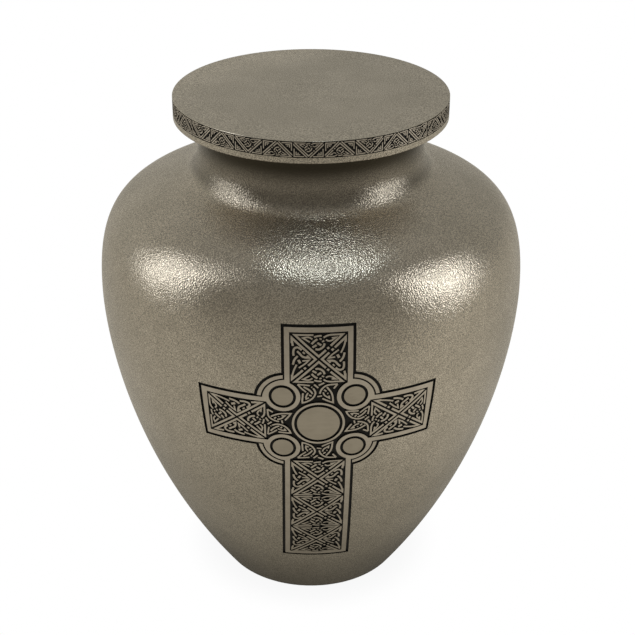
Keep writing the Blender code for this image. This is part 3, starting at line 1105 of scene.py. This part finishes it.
@dataclass(frozen=True)
class CrossLayout:
    """Sizes and outlines of the ring-headed cross, drawn flat about its centre."""

    centre_z: float = 0.11835
    depth: float = 0.6 * MM
    stem_half: float = 14.45 * MM
    stem_top: float = 44.1 * MM
    stem_bottom: float = 90.2 * MM
    arm_half: float = 13.0 * MM
    arm_end: float = 48.4 * MM
    arm_flare: float = 0.035
    ring_radius: float = 12.9 * MM
    ring_setback: float = 2.0 * MM
    groove: float = 1.2 * MM
    ring_band: float = 1.45 * MM
    ring_line: float = 0.65 * MM
    ring_line_lap: float = 0.02 * MM
    border: float = 2.0 * MM
    end_border: float = 2.0 * MM
    heart_drop: float = 0.25 * MM
    centre_ring: tuple[float, float] = (10.45 * MM, 9.55 * MM)
    centre_disc: float = 8.4 * MM
    boss_at: tuple[float, float] = (14.1 * MM, 13.0 * MM)
    boss_collar: float = 7.0 * MM
    boss_groove: tuple[float, float] = (5.35 * MM, 4.2 * MM)
    panel_line: float = 0.55 * MM
    top_panel: tuple[float, float] = (19.3 * MM, 40.8 * MM)
    arm_panel: tuple[float, float] = (20.6 * MM, 45.2 * MM)
    stem_spandrel: tuple[float, float] = (0.96, 1.0)
    arm_spandrel: tuple[float, float] = (0.80, 1.07)
    lower_panels: tuple[float, ...] = (-20.2 * MM, -42.3 * MM, -64.8 * MM, -87.2 * MM)

    def ring_quarter(self, radius: float, stem: float, arm: float, steps: int = 20) -> Points:
        """An arc of the ring's upper right quarter, struck from a centre just inside the corner
        where the stem and the arm would meet.

        Args:
            radius: The arc's radius.
            stem: How far to the right it stops.
            arm: How far up it starts.
            steps: How many steps it has.

        Returns:
            Its points, from beside the arm to beside the stem.
        """
        u, v = self.stem_half - self.ring_setback, self.arm_half - self.ring_setback
        return arc((u, v), radius, math.asin((arm - v) / radius), math.acos((stem - u) / radius), steps)

    def outline(self, inset: float) -> Points:
        """The whole cross with its ring, its edge moved in by a distance. The arms end a little
        further out at the top.

        Args:
            inset: How far in.

        Returns:
            The outline, anticlockwise from the top right.
        """
        stem, arm = self.stem_half - inset, self.arm_half - inset
        end, top, bottom = self.arm_end - inset, self.stem_top - inset, self.stem_bottom - inset
        flare = self.arm_flare * arm
        quarter = self.ring_quarter(self.ring_radius - inset, stem, arm)
        right_top = np.vstack([[end + flare, arm], quarter, [stem, top]])
        left_top = right_top[::-1] * [-1, 1]
        left_low = np.vstack([[flare - end, -arm], quarter * [-1, -1], [-stem, -bottom]])
        right_low = left_low[::-1] * [-1, 1]
        return np.vstack([right_top, left_top, left_low, right_low])

    def ring_slots(self) -> list[Points]:
        """The hooked lines that part each quarter of the ring's band from the metal inside it: an
        arc, run out into the groove beside the stem and the arm."""
        line = self.ring_line
        outer = self.ring_radius - self.groove - self.ring_band
        stem, arm = self.stem_half - self.groove, self.arm_half - self.groove
        outside = self.ring_quarter(outer, stem + line, arm + line)
        inside = self.ring_quarter(outer - line, stem, arm)[::-1]
        (reach, _), (_, rise) = self.ring_quarter(self.ring_radius - self.groove / 2, stem, arm, 1)
        by_stem = [(stem + line, rise), (stem - self.ring_line_lap, rise)]
        by_arm = [(reach, arm - self.ring_line_lap), (reach, arm + line)]
        quarter = np.vstack([outside, by_stem, inside, by_arm])
        return [quarter * [turn_u, turn_v] for turn_u in (1, -1) for turn_v in (1, -1)]

    def field_halves(self) -> tuple[float, float]:
        """Half widths of the sunk field in the stem and in the arms."""
        return self.stem_half - self.groove - self.border, self.arm_half - self.groove - self.border

    def bosses(self) -> list[tuple[float, float]]:
        """The centres of the four small bosses."""
        u, v = self.boss_at
        return [(su * u, sv * v - self.heart_drop) for su in (-1, 1) for sv in (-1, 1)]

    def field(self) -> list[Points]:
        """Outlines of the sunk field, as the stem's and the arms' strips."""
        stem, arm = self.field_halves()
        end = self.arm_end - self.groove - self.end_border
        top, bottom = (length - self.groove - self.border for length in (self.stem_top, self.stem_bottom))
        return [np.array([(-stem, -bottom), (stem, -bottom), (stem, top), (-stem, top)]),
                np.array([(-end, -arm), (end, -arm), (end, arm), (-end, arm)])]

    def panels(self) -> list[Panel]:
        """The panels of knotwork, each inside its thin black line."""
        stem, arm = (half - self.panel_line for half in self.field_halves())
        half_line = self.panel_line / 2
        low, high = self.top_panel
        near, far = self.arm_panel[0] + half_line, self.arm_panel[1] - self.panel_line
        panels = [Panel(-stem, low + half_line, stem, high - self.panel_line, (Side.LEFT,)),
                  ArmPanel(-far, -arm, -near, arm, (Side.TOP,)),
                  ArmPanel(near, -arm, far, arm, (Side.TOP, Side.LEFT, Side.RIGHT))]
        for high, low in zip(self.lower_panels, self.lower_panels[1:]):
            panels.append(Panel(-stem, low + half_line, stem, high - half_line, (Side.RIGHT,)))
        return panels

    def spandrels(self) -> list[Points]:
        """The strands between the centre ring and the four nearest panels: one drawing turned to
        each of the four sides."""
        (wide, high), (flat, far) = self.stem_spandrel, self.arm_spandrel
        turns = (np.array([[wide, 0], [0, high]]), np.array([[wide, 0], [0, -high]]),
                 np.array([[0, flat], [-far, 0]]), np.array([[0, -flat], [far, 0]]))
        loops = []
        for turn in turns:
            for strand in SPANDREL:
                places = np.array(strand.points) * MM @ turn
                loops += strand_outlines(places, strand.width, strand.corners)
        return loops


class MetalFinish(Enum):
    """The numbers of the finishes on the vessel and on the plates of the cross."""

    FACE = 0
    ENAMEL = 1
    INSIDE = 2


class Vessel:
    """The vessel's skin: a turned shell with the cross sunk in its front."""

    columns = 288
    row_step = 1.6 * MM
    inner_step = 3.2 * MM
    patch_columns = 30
    patch_low = 96.0 * MM
    patch_high = 50.0 * MM
    edge_step = 1.2 * MM
    flat_points = 5
    floor_gap = 1.0 * MM

    def __init__(self, shape: VesselShape, cross: CrossLayout) -> None:
        """Works out the wall that the cross is laid on.

        Args:
            shape: The vessel's outline.
            cross: The cross's sizes.
        """
        self.shape = shape
        self.cross = cross
        self.wall = Wall(shape.outside(), cross.centre_z, cross.stem_half)

    def profile(self) -> tuple[Points, int, Points, Points]:
        """The closed outline of the shell.

        Returns:
            The outline from the axis under the foot round to the axis above the base, the number
            of the first row on the outer face, the running lengths of the rows there, and the
            finish above each row.
        """
        shape = self.shape
        edge = shape.edge
        length = self.wall.run[-1]
        rows = max(int(round((length - 2 * edge) / self.row_step)), 1)
        runs = np.linspace(edge, length - edge, rows + 1)
        outer = np.stack([np.interp(runs, self.wall.run, self.wall.outline[:, k]) for k in (0, 1)],
                         axis=1)
        foot = np.array([shape.foot_radius, 0.0])
        under = np.linspace([0.0, 0.0], [shape.foot_radius - edge, 0.0], self.flat_points)
        foot_edge = corner_curve(under[-1], foot, outer[0])
        rim_out = np.array([shape.neck_radius, shape.rim_z])
        rim_in = np.array([shape.neck_radius - shape.wall, shape.rim_z])
        inside = shape.inside()
        inner = evenly(inside[inside[:, 1] < shape.rim_z - edge], self.inner_step)
        over = corner_curve(outer[-1], rim_out, rim_out - [edge, 0.0])
        back = corner_curve(rim_in + [edge, 0.0], rim_in, inner[0])
        floor = np.linspace([inner[-1, 0] - self.floor_gap, shape.base], [0.0, shape.base],
                            self.flat_points)
        stretches = [under[:-1], foot_edge[:-1], outer, over[1:], back[:-1], inner, floor]
        profile = np.vstack(stretches)
        first_row = len(under) - 1 + len(foot_edge) - 1
        finish = np.full(len(profile), MetalFinish.FACE.value)
        finish[first_row + len(outer) + len(over) + 1:] = MetalFinish.INSIDE.value
        return profile, first_row, runs, finish

    def build(self, finishes: list[bpy.types.Material]) -> None:
        """Builds the skin and stands it in for the solid.

        Args:
            finishes: Materials for the face, the enamel and the inside.
        """
        parts = MeshParts()
        profile, first_row, runs, finish = self.profile()
        first = lathe(parts, profile, self.columns, finish)
        row_of = first_row - 1
        low = int(np.searchsorted(runs, self.wall.centre_run - self.patch_low))
        high = int(np.searchsorted(runs, self.wall.centre_run + self.patch_high))
        start = self.columns // 2 - self.patch_columns
        stop = self.columns // 2 + self.patch_columns
        self.drop_patch(parts, first, row_of + low, row_of + high, start, stop)
        turn = -math.pi + 2 * math.pi * np.arange(start, stop + 1) / self.columns
        rows = row_of + np.arange(low, high + 1)[:, None]
        numbers = first + rows * self.columns + np.arange(start, stop + 1)
        self.add_patch(parts, turn, runs[low:high + 1], numbers)
        publish("vessel", parts, finishes, "urn_body")

    def drop_patch(self, parts: MeshParts, first: int, low: int, high: int, start: int,
                   stop: int) -> None:
        """Takes out the turned shell's faces where the carved front goes.

        Args:
            parts: The shell.
            first: The number of its first ring vertex.
            low: The ring under the patch.
            high: The ring over it.
            start: The column at its left edge.
            stop: The column at its right edge.
        """
        corner = np.array([face[0] for face in parts.faces]) - first
        ring, column = corner // self.columns, corner % self.columns
        four = np.array([len(face) for face in parts.faces]) == 4
        inside = four & (ring >= low) & (ring < high) & (column >= start) & (column < stop)
        keep = np.flatnonzero(~inside)
        parts.faces = [parts.faces[k] for k in keep]
        parts.finish = [parts.finish[k] for k in keep]

    def add_patch(self, parts: MeshParts, turn: Points, runs: Points, numbers: Points) -> None:
        """Adds the carved front: triangles over the shell's own grid and the cross's outline, those
        inside the outline sunk to the enamel's floor, with a wall between the two levels.

        Args:
            parts: The shell.
            turn: Angles of the patch's columns.
            runs: Running lengths of its rows.
            numbers: The shell's vertex numbers on this grid, rows first.
        """
        radius = self.wall.centre_radius
        outline = dense_loop(self.cross.outline(0.0), self.edge_step)
        edge_turn, edge_run = self.wall.turn_and_run(outline)
        loop = np.stack([edge_turn * radius, edge_run], axis=1)
        grid = np.stack(np.meshgrid(turn * radius, runs), axis=-1)
        border = np.ones(numbers.shape, bool)
        border[1:-1, 1:-1] = False
        free = clear_of(grid[~border], loop, self.edge_step / 2)
        points = np.vstack([loop, grid[border], free])
        used, triangles, origin = triangulated(points, loop_edges([loop]))
        sunk = covered(used[triangles].mean(axis=1), [loop], Rule.EVEN_ODD)
        places = used / [radius, 1.0]
        upper = parts.add_vertices(self.wall.at(places[:, 0], places[:, 1])) + np.arange(len(used))
        on_border = (origin >= len(loop)) & (origin < len(loop) + int(border.sum()))
        upper[on_border] = numbers[border][origin[on_border] - len(loop)]
        lower = parts.add_vertices(self.wall.at(places[:, 0], places[:, 1], -self.cross.depth))
        floor = triangles[sunk]
        rims = rims_of(floor)
        parts.add_faces(upper[triangles[~sunk]], MetalFinish.FACE.value)
        parts.add_faces(floor + lower, MetalFinish.ENAMEL.value)
        a, b = rims[:, 0], rims[:, 1]
        walls = np.stack([upper[a], upper[b], b + lower, a + lower], axis=1)
        parts.add_faces(walls, MetalFinish.ENAMEL.value)


class CrossMetal:
    """The metal of the cross, left standing flush with the wall: its border and ring, the centre
    ring and disc, the small bosses, and the knotwork. Its roots go into the enamel's floor."""

    root = 0.15 * MM
    edge_step = 1.2 * MM
    spacing = 1.7 * MM
    heart_steps = 96
    collar_steps = 72
    boss_steps = 56

    def __init__(self, wall: Wall, cross: CrossLayout) -> None:
        """Keeps the wall that it stands on and the cross's sizes."""
        self.wall = wall
        self.cross = cross

    def publish_plate(self, name: str, region: Region, finishes: list[bpy.types.Material]) -> None:
        """Makes one flat piece of the cross.

        Args:
            name: The piece's name.
            region: Its shape.
            finishes: Its metal, and the enamel on its walls.
        """
        parts = MeshParts()
        bottom = -self.cross.depth - self.root
        numbers = (MetalFinish.FACE.value, MetalFinish.ENAMEL.value)
        add_plate(parts, region, self.wall, 0.0, bottom, numbers)
        publish(name, parts, finishes)

    def border(self) -> Region:
        """The border: the cross inside its groove, less the sunk field and the slots, plus the
        collars round the bosses."""
        cross = self.cross
        grooves = [circle(place, cross.boss_groove[0]) for place in cross.bosses()]
        collars = [circle(place, cross.boss_collar, self.collar_steps) for place in cross.bosses()]
        holes = {"grooves": grooves, "collars": collars, "field": cross.field(),
                 "slots": cross.ring_slots()}
        return fill_without(cross.outline(cross.groove), holes, self.edge_step, self.spacing)

    def build(self, metal: bpy.types.Material, disc_metal: bpy.types.Material,
              enamel: bpy.types.Material) -> None:
        """Builds all the metal of the cross.

        Args:
            metal: The smooth metal.
            disc_metal: The brushed metal of the centre disc and the bosses.
            enamel: The enamel on the walls.
        """
        cross = self.cross
        heart = (0.0, -cross.heart_drop)
        self.publish_plate("cross_border", self.border(), [metal, enamel])
        rings = [circle(heart, radius, self.heart_steps) for radius in cross.centre_ring]
        ring = fill(rings, Rule.EVEN_ODD, self.edge_step)
        self.publish_plate("cross_centre_ring", ring, [metal, enamel])
        disc = fill([circle(heart, cross.centre_disc, self.heart_steps)], Rule.EVEN_ODD,
                    self.edge_step, self.spacing)
        self.publish_plate("cross_centre_disc", disc, [disc_metal, enamel])
        discs = [circle(place, cross.boss_groove[1], self.boss_steps) for place in cross.bosses()]
        bosses = fill(discs, Rule.EVEN_ODD, self.edge_step, self.spacing)
        self.publish_plate("cross_bosses", bosses, [disc_metal, enamel])
        loops = [loop for panel in cross.panels() for loop in panel.outlines()] + cross.spandrels()
        knotwork = fill(loops, Rule.UNION, self.edge_step)
        self.publish_plate("cross_knotwork", knotwork, [metal, enamel])


def fill_without(outline: Points, holes: dict[str, list[Points]], edge_step: float,
                 spacing: float) -> Region:
    """A region with cuts: inside the outline and outside every groove and slot, and either outside
    the field or inside a collar.

    Args:
        outline: The region's outer edge.
        holes: Outlines by name: grooves, collars, field and slots.
        edge_step: The longest step along an outline.
        spacing: The spacing of the points inside it.

    Returns:
        The region.
    """
    dense = {name: [dense_loop(loop, edge_step) for loop in loops] for name, loops in holes.items()}
    outer = dense_loop(outline, edge_step)

    def kept(points: Points) -> Points:
        """Which points the region covers."""
        inside = covered(points, [outer], Rule.UNION)
        cut = covered(points, dense["grooves"] + dense["slots"], Rule.UNION)
        in_field, in_collar = (covered(points, dense[name], Rule.UNION) for name in ("field", "collars"))
        return inside & ~cut & ~(in_field & ~in_collar)

    return region_of([outer] + [loop for loops in dense.values() for loop in loops], kept, spacing)


# The lid

class LidFinish(Enum):
    """The numbers of the finishes on the lid."""

    FACE = 0
    ENAMEL = 1
    EDGE = 2
    INSIDE = 3


class Lid:
    """The hollow lid: a shallow cap with a plug collar, and a knotwork band round its side. Each
    hook is a bent strand near a square corner of the band, in millimetres from that corner: how
    far across and along it bends, how far across it reaches, and how far along it rises."""

    radius = 0.0572
    side = 0.0092
    dome = 0.0003
    dome_steps = 15
    bevel = 0.00012
    wall = 0.0018
    seat_gap = 0.0003
    plug_clearance = 0.0006
    plug_depth = 0.0120
    plug_wall = 0.0018
    plug_bevel = 0.4 * MM
    lip = 2.5 * MM
    lip_bevel = 0.3 * MM
    columns = 300
    panels = 30
    first_turn = math.radians(9.2)
    band_depth = 0.4 * MM
    band_top_line = 0.35 * MM
    band_low_line = 0.3 * MM
    band_step = 0.8 * MM
    panel_gap = 0.2 * MM
    slant_band = 0.42 * MM
    base_band = 0.34 * MM
    strand_scale = 0.5
    hooks = ((0.3, 0.3, 4.1, 3.4), (1.05, 1.0, 2.6, 2.2), (1.75, 1.6, 2.1, 1.75))
    hook_width = 0.38 * MM
    root = 0.15 * MM

    def __init__(self, shape: VesselShape) -> None:
        """Works out the lid's heights from the vessel's rim.

        Args:
            shape: The vessel's outline.
        """
        self.under = shape.rim_z + self.seat_gap
        self.top = self.under + self.side
        self.plug = shape.neck_radius - shape.wall - self.plug_clearance
        self.plug_bottom = shape.rim_z - self.plug_depth

    def profile(self) -> tuple[Points, Points]:
        """The closed outline of the lid.

        Returns:
            The outline, from the axis inside, out over the underside, up the side and back over
            the top, and the finish above each row.
        """
        r, bevel, deep = self.radius, self.bevel, self.band_depth
        bore, plug_bottom = self.plug - self.plug_wall, self.plug_bottom
        inner_top, shelf = self.top - self.wall, self.under + self.wall
        band_low, band_high = self.under + self.lip, self.top - bevel
        inside = [(r * share, inner_top) for share in (0.0, 0.3, 0.6)]
        inside += [(r - self.wall, inner_top), (r - self.wall, shelf), (bore, shelf), (bore, plug_bottom)]
        plug = [(self.plug - self.plug_bevel, plug_bottom), (self.plug, plug_bottom + self.plug_bevel),
                (self.plug, self.under)]
        lip = [(r - self.lip_bevel, self.under), (r, self.under + self.lip_bevel)]
        band = [(r, band_low), (r - deep, band_low), (r - deep, band_high)]
        edge = [(r, band_high), (r - bevel, self.top)]
        across = np.linspace(1.0, 0.0, self.dome_steps + 1)[1:]
        dome = [((r - bevel) * share, self.top + self.dome * (1 - share ** 2)) for share in across]
        stretches = ((inside, LidFinish.INSIDE), (plug, LidFinish.FACE), (lip, LidFinish.FACE),
                     (band, LidFinish.ENAMEL), (edge, LidFinish.EDGE), (dome, LidFinish.FACE))
        finish = np.concatenate([np.full(len(points), kind.value) for points, kind in stretches])
        finish[len(inside) - 1] = LidFinish.FACE.value
        finish[-len(dome) - 1] = LidFinish.FACE.value
        return np.array([point for points, _ in stretches for point in points]), finish

    def build(self, finishes: list[bpy.types.Material], metal: bpy.types.Material,
              enamel: bpy.types.Material) -> None:
        """Builds the cap and its band.

        Args:
            finishes: Materials for the grained face, the enamel, the polished edge and the inside.
            metal: The band's metal.
            enamel: The enamel on the walls of the band's strands.
        """
        parts = MeshParts()
        profile, finish = self.profile()
        lathe(parts, profile, self.columns, finish)
        publish("lid", parts, finishes, "urn_lid")
        region = self.band_region()
        band = MeshParts()
        step = 4 * math.pi / self.panels
        for pair in range(self.panels // 2):
            face = RoundSide(self.radius, self.first_turn + pair * step)
            add_plate(band, region, face, 0.0, -self.band_depth - self.root,
                      (MetalFinish.FACE.value, MetalFinish.ENAMEL.value))
        publish("lid_band", band, [metal, enamel])

    def band_region(self) -> Region:
        """Two neighbouring panels of the band, one with its point up and one with it down."""
        width = 2 * math.pi * self.radius / self.panels
        low = self.under + self.lip + self.band_low_line
        high = self.top - self.bevel - self.band_top_line
        loops = []
        for index, (base, point) in enumerate(((low, high), (high, low))):
            middle = width * index
            left, right = middle - width / 2, middle + width / 2
            start, stop = (left, right) if index else (right, left)
            wide = TriangleFrame((start, base), (stop, base), (middle, point), self.panel_gap,
                                 self.slant_band, self.base_band)
            loops += triangle_outlines(wide, Knot.ROUND, self.strand_scale)
            for edge in (left, right):
                loops += self.corner_outlines(np.array([(middle, point), (edge, base), (edge, point)]))
        return fill(loops, Rule.UNION, self.band_step)

    def corner_outlines(self, corners: Points) -> list[Points]:
        """The half triangle beside a wide one: a band along its slant, a strand along its two
        straight sides and a hook inside that.

        Args:
            corners: The wide triangle's point, its base corner, and the corner above that.

        Returns:
            The outlines.
        """
        tip, base, square = inset_loop(corners, (self.panel_gap, self.panel_gap, 0.0))
        far, near = inset_loop(np.array([tip, base, square]), (self.slant_band, 0.0, 0.0))[:2]
        side = unit(np.array([tip - square]))[0]
        up = unit(np.array([base - square]))[0]
        outlines = [np.array([tip, base, near, far])]
        for across, along, reach, rise in self.hooks:
            bend = square + (side * across + up * along) * MM
            path = bend + np.array([up * (rise - along), np.zeros(2), side * (reach - across)]) * MM
            outlines += strand_outlines(path, self.hook_width, (1,))
        return outlines


# The studio

@dataclass(frozen=True)
class Glow:
    """A soft-edged bright field in the studio's surroundings, in degrees: azimuth from the camera's
    side, growing to the right, and elevation."""

    azimuth: float
    elevation: float
    half_width: float
    half_height: float
    soft: float
    strength: float


@dataclass(frozen=True)
class Canopy:
    """A soft oval light overhead, placed by the x and y of the way to it. Its edge eases off
    between two shares of its half sizes, and its foot between two heights of the way."""

    x: float = 0.07
    y: float = -0.02
    half_x: float = 0.08
    half_y: float = 0.24
    edge: tuple[float, float] = (0.3, 1.6)
    foot: tuple[float, float] = (0.3, 0.6)
    strength: float = 4.5
    tint: tuple[float, ...] = (0.90, 1.0, 1.06, 1.0)


@dataclass(frozen=True)
class Surroundings:
    """The light round the urn. A blend is how far to each side of the middle one colour gives way
    to the next: side_blend by the x of the way looked, the other two by its y. high_from is the
    range of its z over which the low colours give way to the high ones."""

    front: tuple[float, ...] = (0.21, 0.196, 0.168, 1.0)
    back_left: tuple[float, ...] = (0.42, 0.402, 0.355, 1.0)
    back_right: tuple[float, ...] = (0.30, 0.288, 0.255, 1.0)
    high_front: tuple[float, ...] = (0.195, 0.187, 0.168, 1.0)
    high_back: tuple[float, ...] = (0.275, 0.262, 0.235, 1.0)
    side_blend: float = 0.7
    back_blend: float = 0.6
    high_blend: float = 0.3
    high_from: tuple[float, float] = (0.5, 0.9)
    glows: tuple[Glow, ...] = (Glow(-88, 26, 9, 25, 9, 2.3), Glow(76, 13, 11, 29, 9, 2.6))
    canopy: Canopy = Canopy()


@dataclass(frozen=True)
class Floor:
    """The floor's colours in reflections, and where one gives way to the next: far_from and
    foot_reach are distances from the axis, front_from is a range of y, and right_share is how
    nearly a place lies in right_way. In reflections the floor glows with painted light: near and
    foot are a painted shadow of the urn close to its foot, and right and front are a painted
    paler and darker stretch. Looked at, the floor is white but for a faint shade."""

    size: float = 8.0
    near: tuple[float, ...] = (0.26, 0.243, 0.205, 1.0)
    far: tuple[float, ...] = (0.43, 0.405, 0.35, 1.0)
    right: tuple[float, ...] = (0.51, 0.48, 0.415, 1.0)
    front: tuple[float, ...] = (0.30, 0.28, 0.24, 1.0)
    right_way: tuple[float, float] = (0.91, -0.42)
    right_share: tuple[float, float] = (0.75, 1.0)
    front_from: tuple[float, float] = (-0.5, -0.2)
    far_from: tuple[float, float] = (0.06, 0.18)
    foot: float = 0.35
    foot_reach: tuple[float, float] = (0.04, 0.075)
    shade: float = 0.93
    shade_reach: float = 0.02


@dataclass(frozen=True)
class Studio:
    """Camera, surroundings and floor."""

    distance: float = 0.637
    elevation: float = math.radians(28.14)
    azimuth: float = math.radians(-1.87)
    aim_z: float = 0.1177
    lens: float = 80.706
    shift: float = 0.0102
    round_about: Surroundings = Surroundings()
    ground: Floor = Floor()

    def camera(self) -> None:
        """Puts the camera where the picture was taken from."""
        lens = bpy.data.cameras.new("camera")
        lens.lens, lens.sensor_width, lens.shift_x = self.lens, 36.0, self.shift
        lens.clip_start, lens.clip_end = 0.01, 50.0
        item = bpy.data.objects.new("camera", lens)
        back = Vector((math.sin(self.azimuth) * math.cos(self.elevation),
                       -math.cos(self.azimuth) * math.cos(self.elevation), math.sin(self.elevation)))
        item.location = Vector((0.0, 0.0, self.aim_z)) + back * self.distance
        item.rotation_euler = (-back).to_track_quat("-Z", "Y").to_euler()
        bpy.context.scene.collection.objects.link(item)
        bpy.context.scene.camera = item

    def surroundings(self) -> None:
        """The light round the urn: dim and warm in front, paler behind, a bright field at each
        side and a bright oval overhead. The camera itself sees plain white."""
        around = self.round_about
        world = bpy.data.worlds.new("studio")
        world.use_nodes = True
        bpy.context.scene.world = world
        tree = world.node_tree
        tree.nodes.clear()
        maker = NodeMaker(tree)
        way = maker.add("ShaderNodeTexCoord").outputs["Generated"]
        x, y, z = maker.add("ShaderNodeSeparateXYZ", {}, {0: way}).outputs
        azimuth = maker.math("ARCTAN2", x, maker.math("MULTIPLY", y, -1.0))
        elevation = maker.math("ARCSINE", z)
        rightness = maker.ramp(x, -around.side_blend, around.side_blend, 0.0, 1.0)
        back = maker.blend(rightness, around.back_left, around.back_right)
        backness = maker.ramp(y, -around.back_blend, around.back_blend, 0.0, 1.0)
        low = maker.blend(backness, around.front, back)
        high_backness = maker.ramp(y, -around.high_blend, around.high_blend, 0.0, 1.0)
        high = maker.blend(high_backness, around.high_front, around.high_back)
        colour = maker.blend(maker.ramp(z, *around.high_from, 0.0, 1.0), low, high)
        sides = [self.glow_value(maker, glow, azimuth, elevation) for glow in around.glows]
        colour = maker.sum_of(colour, maker.math("ADD", *sides))
        colour = maker.sum_of(colour, self.canopy_colour(maker, around.canopy, (x, y, z)))
        glowing = maker.add("ShaderNodeBackground", {}, {"Color": colour}).outputs[0]
        white = maker.add("ShaderNodeBackground", {}, {"Color": (1.0, 1.0, 1.0, 1.0)}).outputs[0]
        seen = maker.add("ShaderNodeLightPath").outputs["Is Camera Ray"]
        mixed = maker.add("ShaderNodeMixShader", {}, {0: seen, 1: glowing, 2: white}).outputs[0]
        maker.add("ShaderNodeOutputWorld", {}, {"Surface": mixed})

    def glow_value(self, maker: NodeMaker, glow: Glow, azimuth: bpy.types.NodeSocket,
                   elevation: bpy.types.NodeSocket) -> bpy.types.NodeSocket:
        """The brightness of one field: full inside its half sizes, easing to nothing beyond them.

        Args:
            maker: The world's node maker.
            glow: The field.
            azimuth: Azimuth of the way looked, in radians.
            elevation: Its elevation.

        Returns:
            The brightness.
        """
        shares = []
        for value, centre, half in ((azimuth, glow.azimuth, glow.half_width),
                                    (elevation, glow.elevation, glow.half_height)):
            away = maker.math("ABSOLUTE", maker.math("SUBTRACT", value, math.radians(centre)))
            inner, outer = math.radians(half - glow.soft), math.radians(half + glow.soft)
            shares.append(maker.ramp(away, inner, outer, 1.0, 0.0))
        return maker.math("MULTIPLY", maker.math("MULTIPLY", *shares), glow.strength)

    def canopy_colour(self, maker: NodeMaker, canopy: Canopy,
                      way: tuple[bpy.types.NodeSocket, ...]) -> bpy.types.NodeSocket:
        """The light overhead: full in the middle of its oval, easing to nothing outside it.

        Args:
            maker: The world's node maker.
            canopy: The light.
            way: The x, y and z of the way looked.

        Returns:
            Its colour.
        """
        x, y, z = way
        across = maker.math("DIVIDE", maker.math("SUBTRACT", x, canopy.x), canopy.half_x)
        along = maker.math("DIVIDE", maker.math("SUBTRACT", y, canopy.y), canopy.half_y)
        squares = (maker.math("POWER", distance, 2.0) for distance in (across, along))
        away = maker.math("SQRT", maker.math("ADD", *squares))
        share = maker.math("MULTIPLY", maker.ramp(away, *canopy.edge, canopy.strength, 0.0),
                           maker.ramp(z, *canopy.foot, 0.0, 1.0))
        return maker.blend(share, (0.0, 0.0, 0.0, 1.0), canopy.tint)

    def floor(self) -> None:
        """A pale floor: white where it is looked at, with a faint shade close to the foot, and in
        reflections a dimmer painted glow, with a painted shadow of the urn near its foot."""
        ground = self.ground
        half = ground.size / 2
        mesh = bpy.data.meshes.new("floor")
        corners = [(-half, -half, 0), (half, -half, 0), (half, half, 0), (-half, half, 0)]
        mesh.from_pydata(corners, [], [(0, 1, 2, 3)])
        item = bpy.data.objects.new("floor", mesh)
        bpy.context.scene.collection.objects.link(item)
        material = bpy.data.materials.new("floor")
        material.use_nodes = True
        tree = material.node_tree
        tree.nodes.clear()
        maker = NodeMaker(tree)
        place = maker.add("ShaderNodeTexCoord").outputs["Object"]
        x, y, _ = maker.add("ShaderNodeSeparateXYZ", {}, {0: place}).outputs
        away = maker.add("ShaderNodeVectorMath", {"operation": "LENGTH"}, {0: place}).outputs["Value"]
        near = maker.add("ShaderNodeAmbientOcclusion", {"samples": 8},
                         {"Distance": ground.shade_reach}).outputs["AO"]
        shade = (ground.shade, ground.shade, ground.shade, 1.0)
        looked_at = maker.blend(maker.ramp(near, 0.2, 0.9, 0.0, 1.0), shade, (1.0, 1.0, 1.0, 1.0))
        bearing = maker.math("DIVIDE", maker.along(x, y, ground.right_way), away)
        far = maker.blend(maker.ramp(bearing, *ground.right_share, 0.0, 1.0), ground.far, ground.right)
        far = maker.blend(maker.ramp(y, *ground.front_from, 1.0, 0.0), far, ground.front)
        # painted light in reflections: dimmer near the foot as a painted shadow of the urn
        mirrored = maker.blend(maker.ramp(away, *ground.far_from, 0.0, 1.0), ground.near, far)
        mirrored = maker.scaled(mirrored, maker.ramp(away, *ground.foot_reach, ground.foot, 1.0))
        lights = [maker.add("ShaderNodeEmission", {}, {"Color": colour}).outputs[0]
                  for colour in (mirrored, looked_at)]
        ray = maker.add("ShaderNodeLightPath").outputs["Is Camera Ray"]
        mixed = maker.add("ShaderNodeMixShader", {}, {0: ray, 1: lights[0], 2: lights[1]}).outputs[0]
        maker.add("ShaderNodeOutputMaterial", {}, {"Surface": mixed})
        mesh.materials.append(material)


def main() -> None:
    """Builds the studio and the urn, piece by piece."""
    logging.basicConfig(level=logging.INFO, format="%(message)s")
    bpy.context.scene.view_settings.view_transform = "Standard"
    studio = Studio()
    studio.camera()
    studio.surroundings()
    studio.floor()
    grain = GrainMetal().material()
    cross_metal, disc_metal, edge_metal, inner_metal, band_metal = (
        metal.material() for metal in (CROSS_METAL, DISC_METAL, EDGE_METAL, INNER_METAL, BAND_METAL))
    enamel = Enamel().material()
    shape, cross = VesselShape(), CrossLayout()
    vessel = Vessel(shape, cross)
    vessel.build([grain, enamel, inner_metal])
    CrossMetal(vessel.wall, cross).build(cross_metal, disc_metal, enamel)
    Lid(shape).build([grain, enamel, edge_metal, inner_metal], band_metal, enamel)


if __name__ == "__main__":
    main()
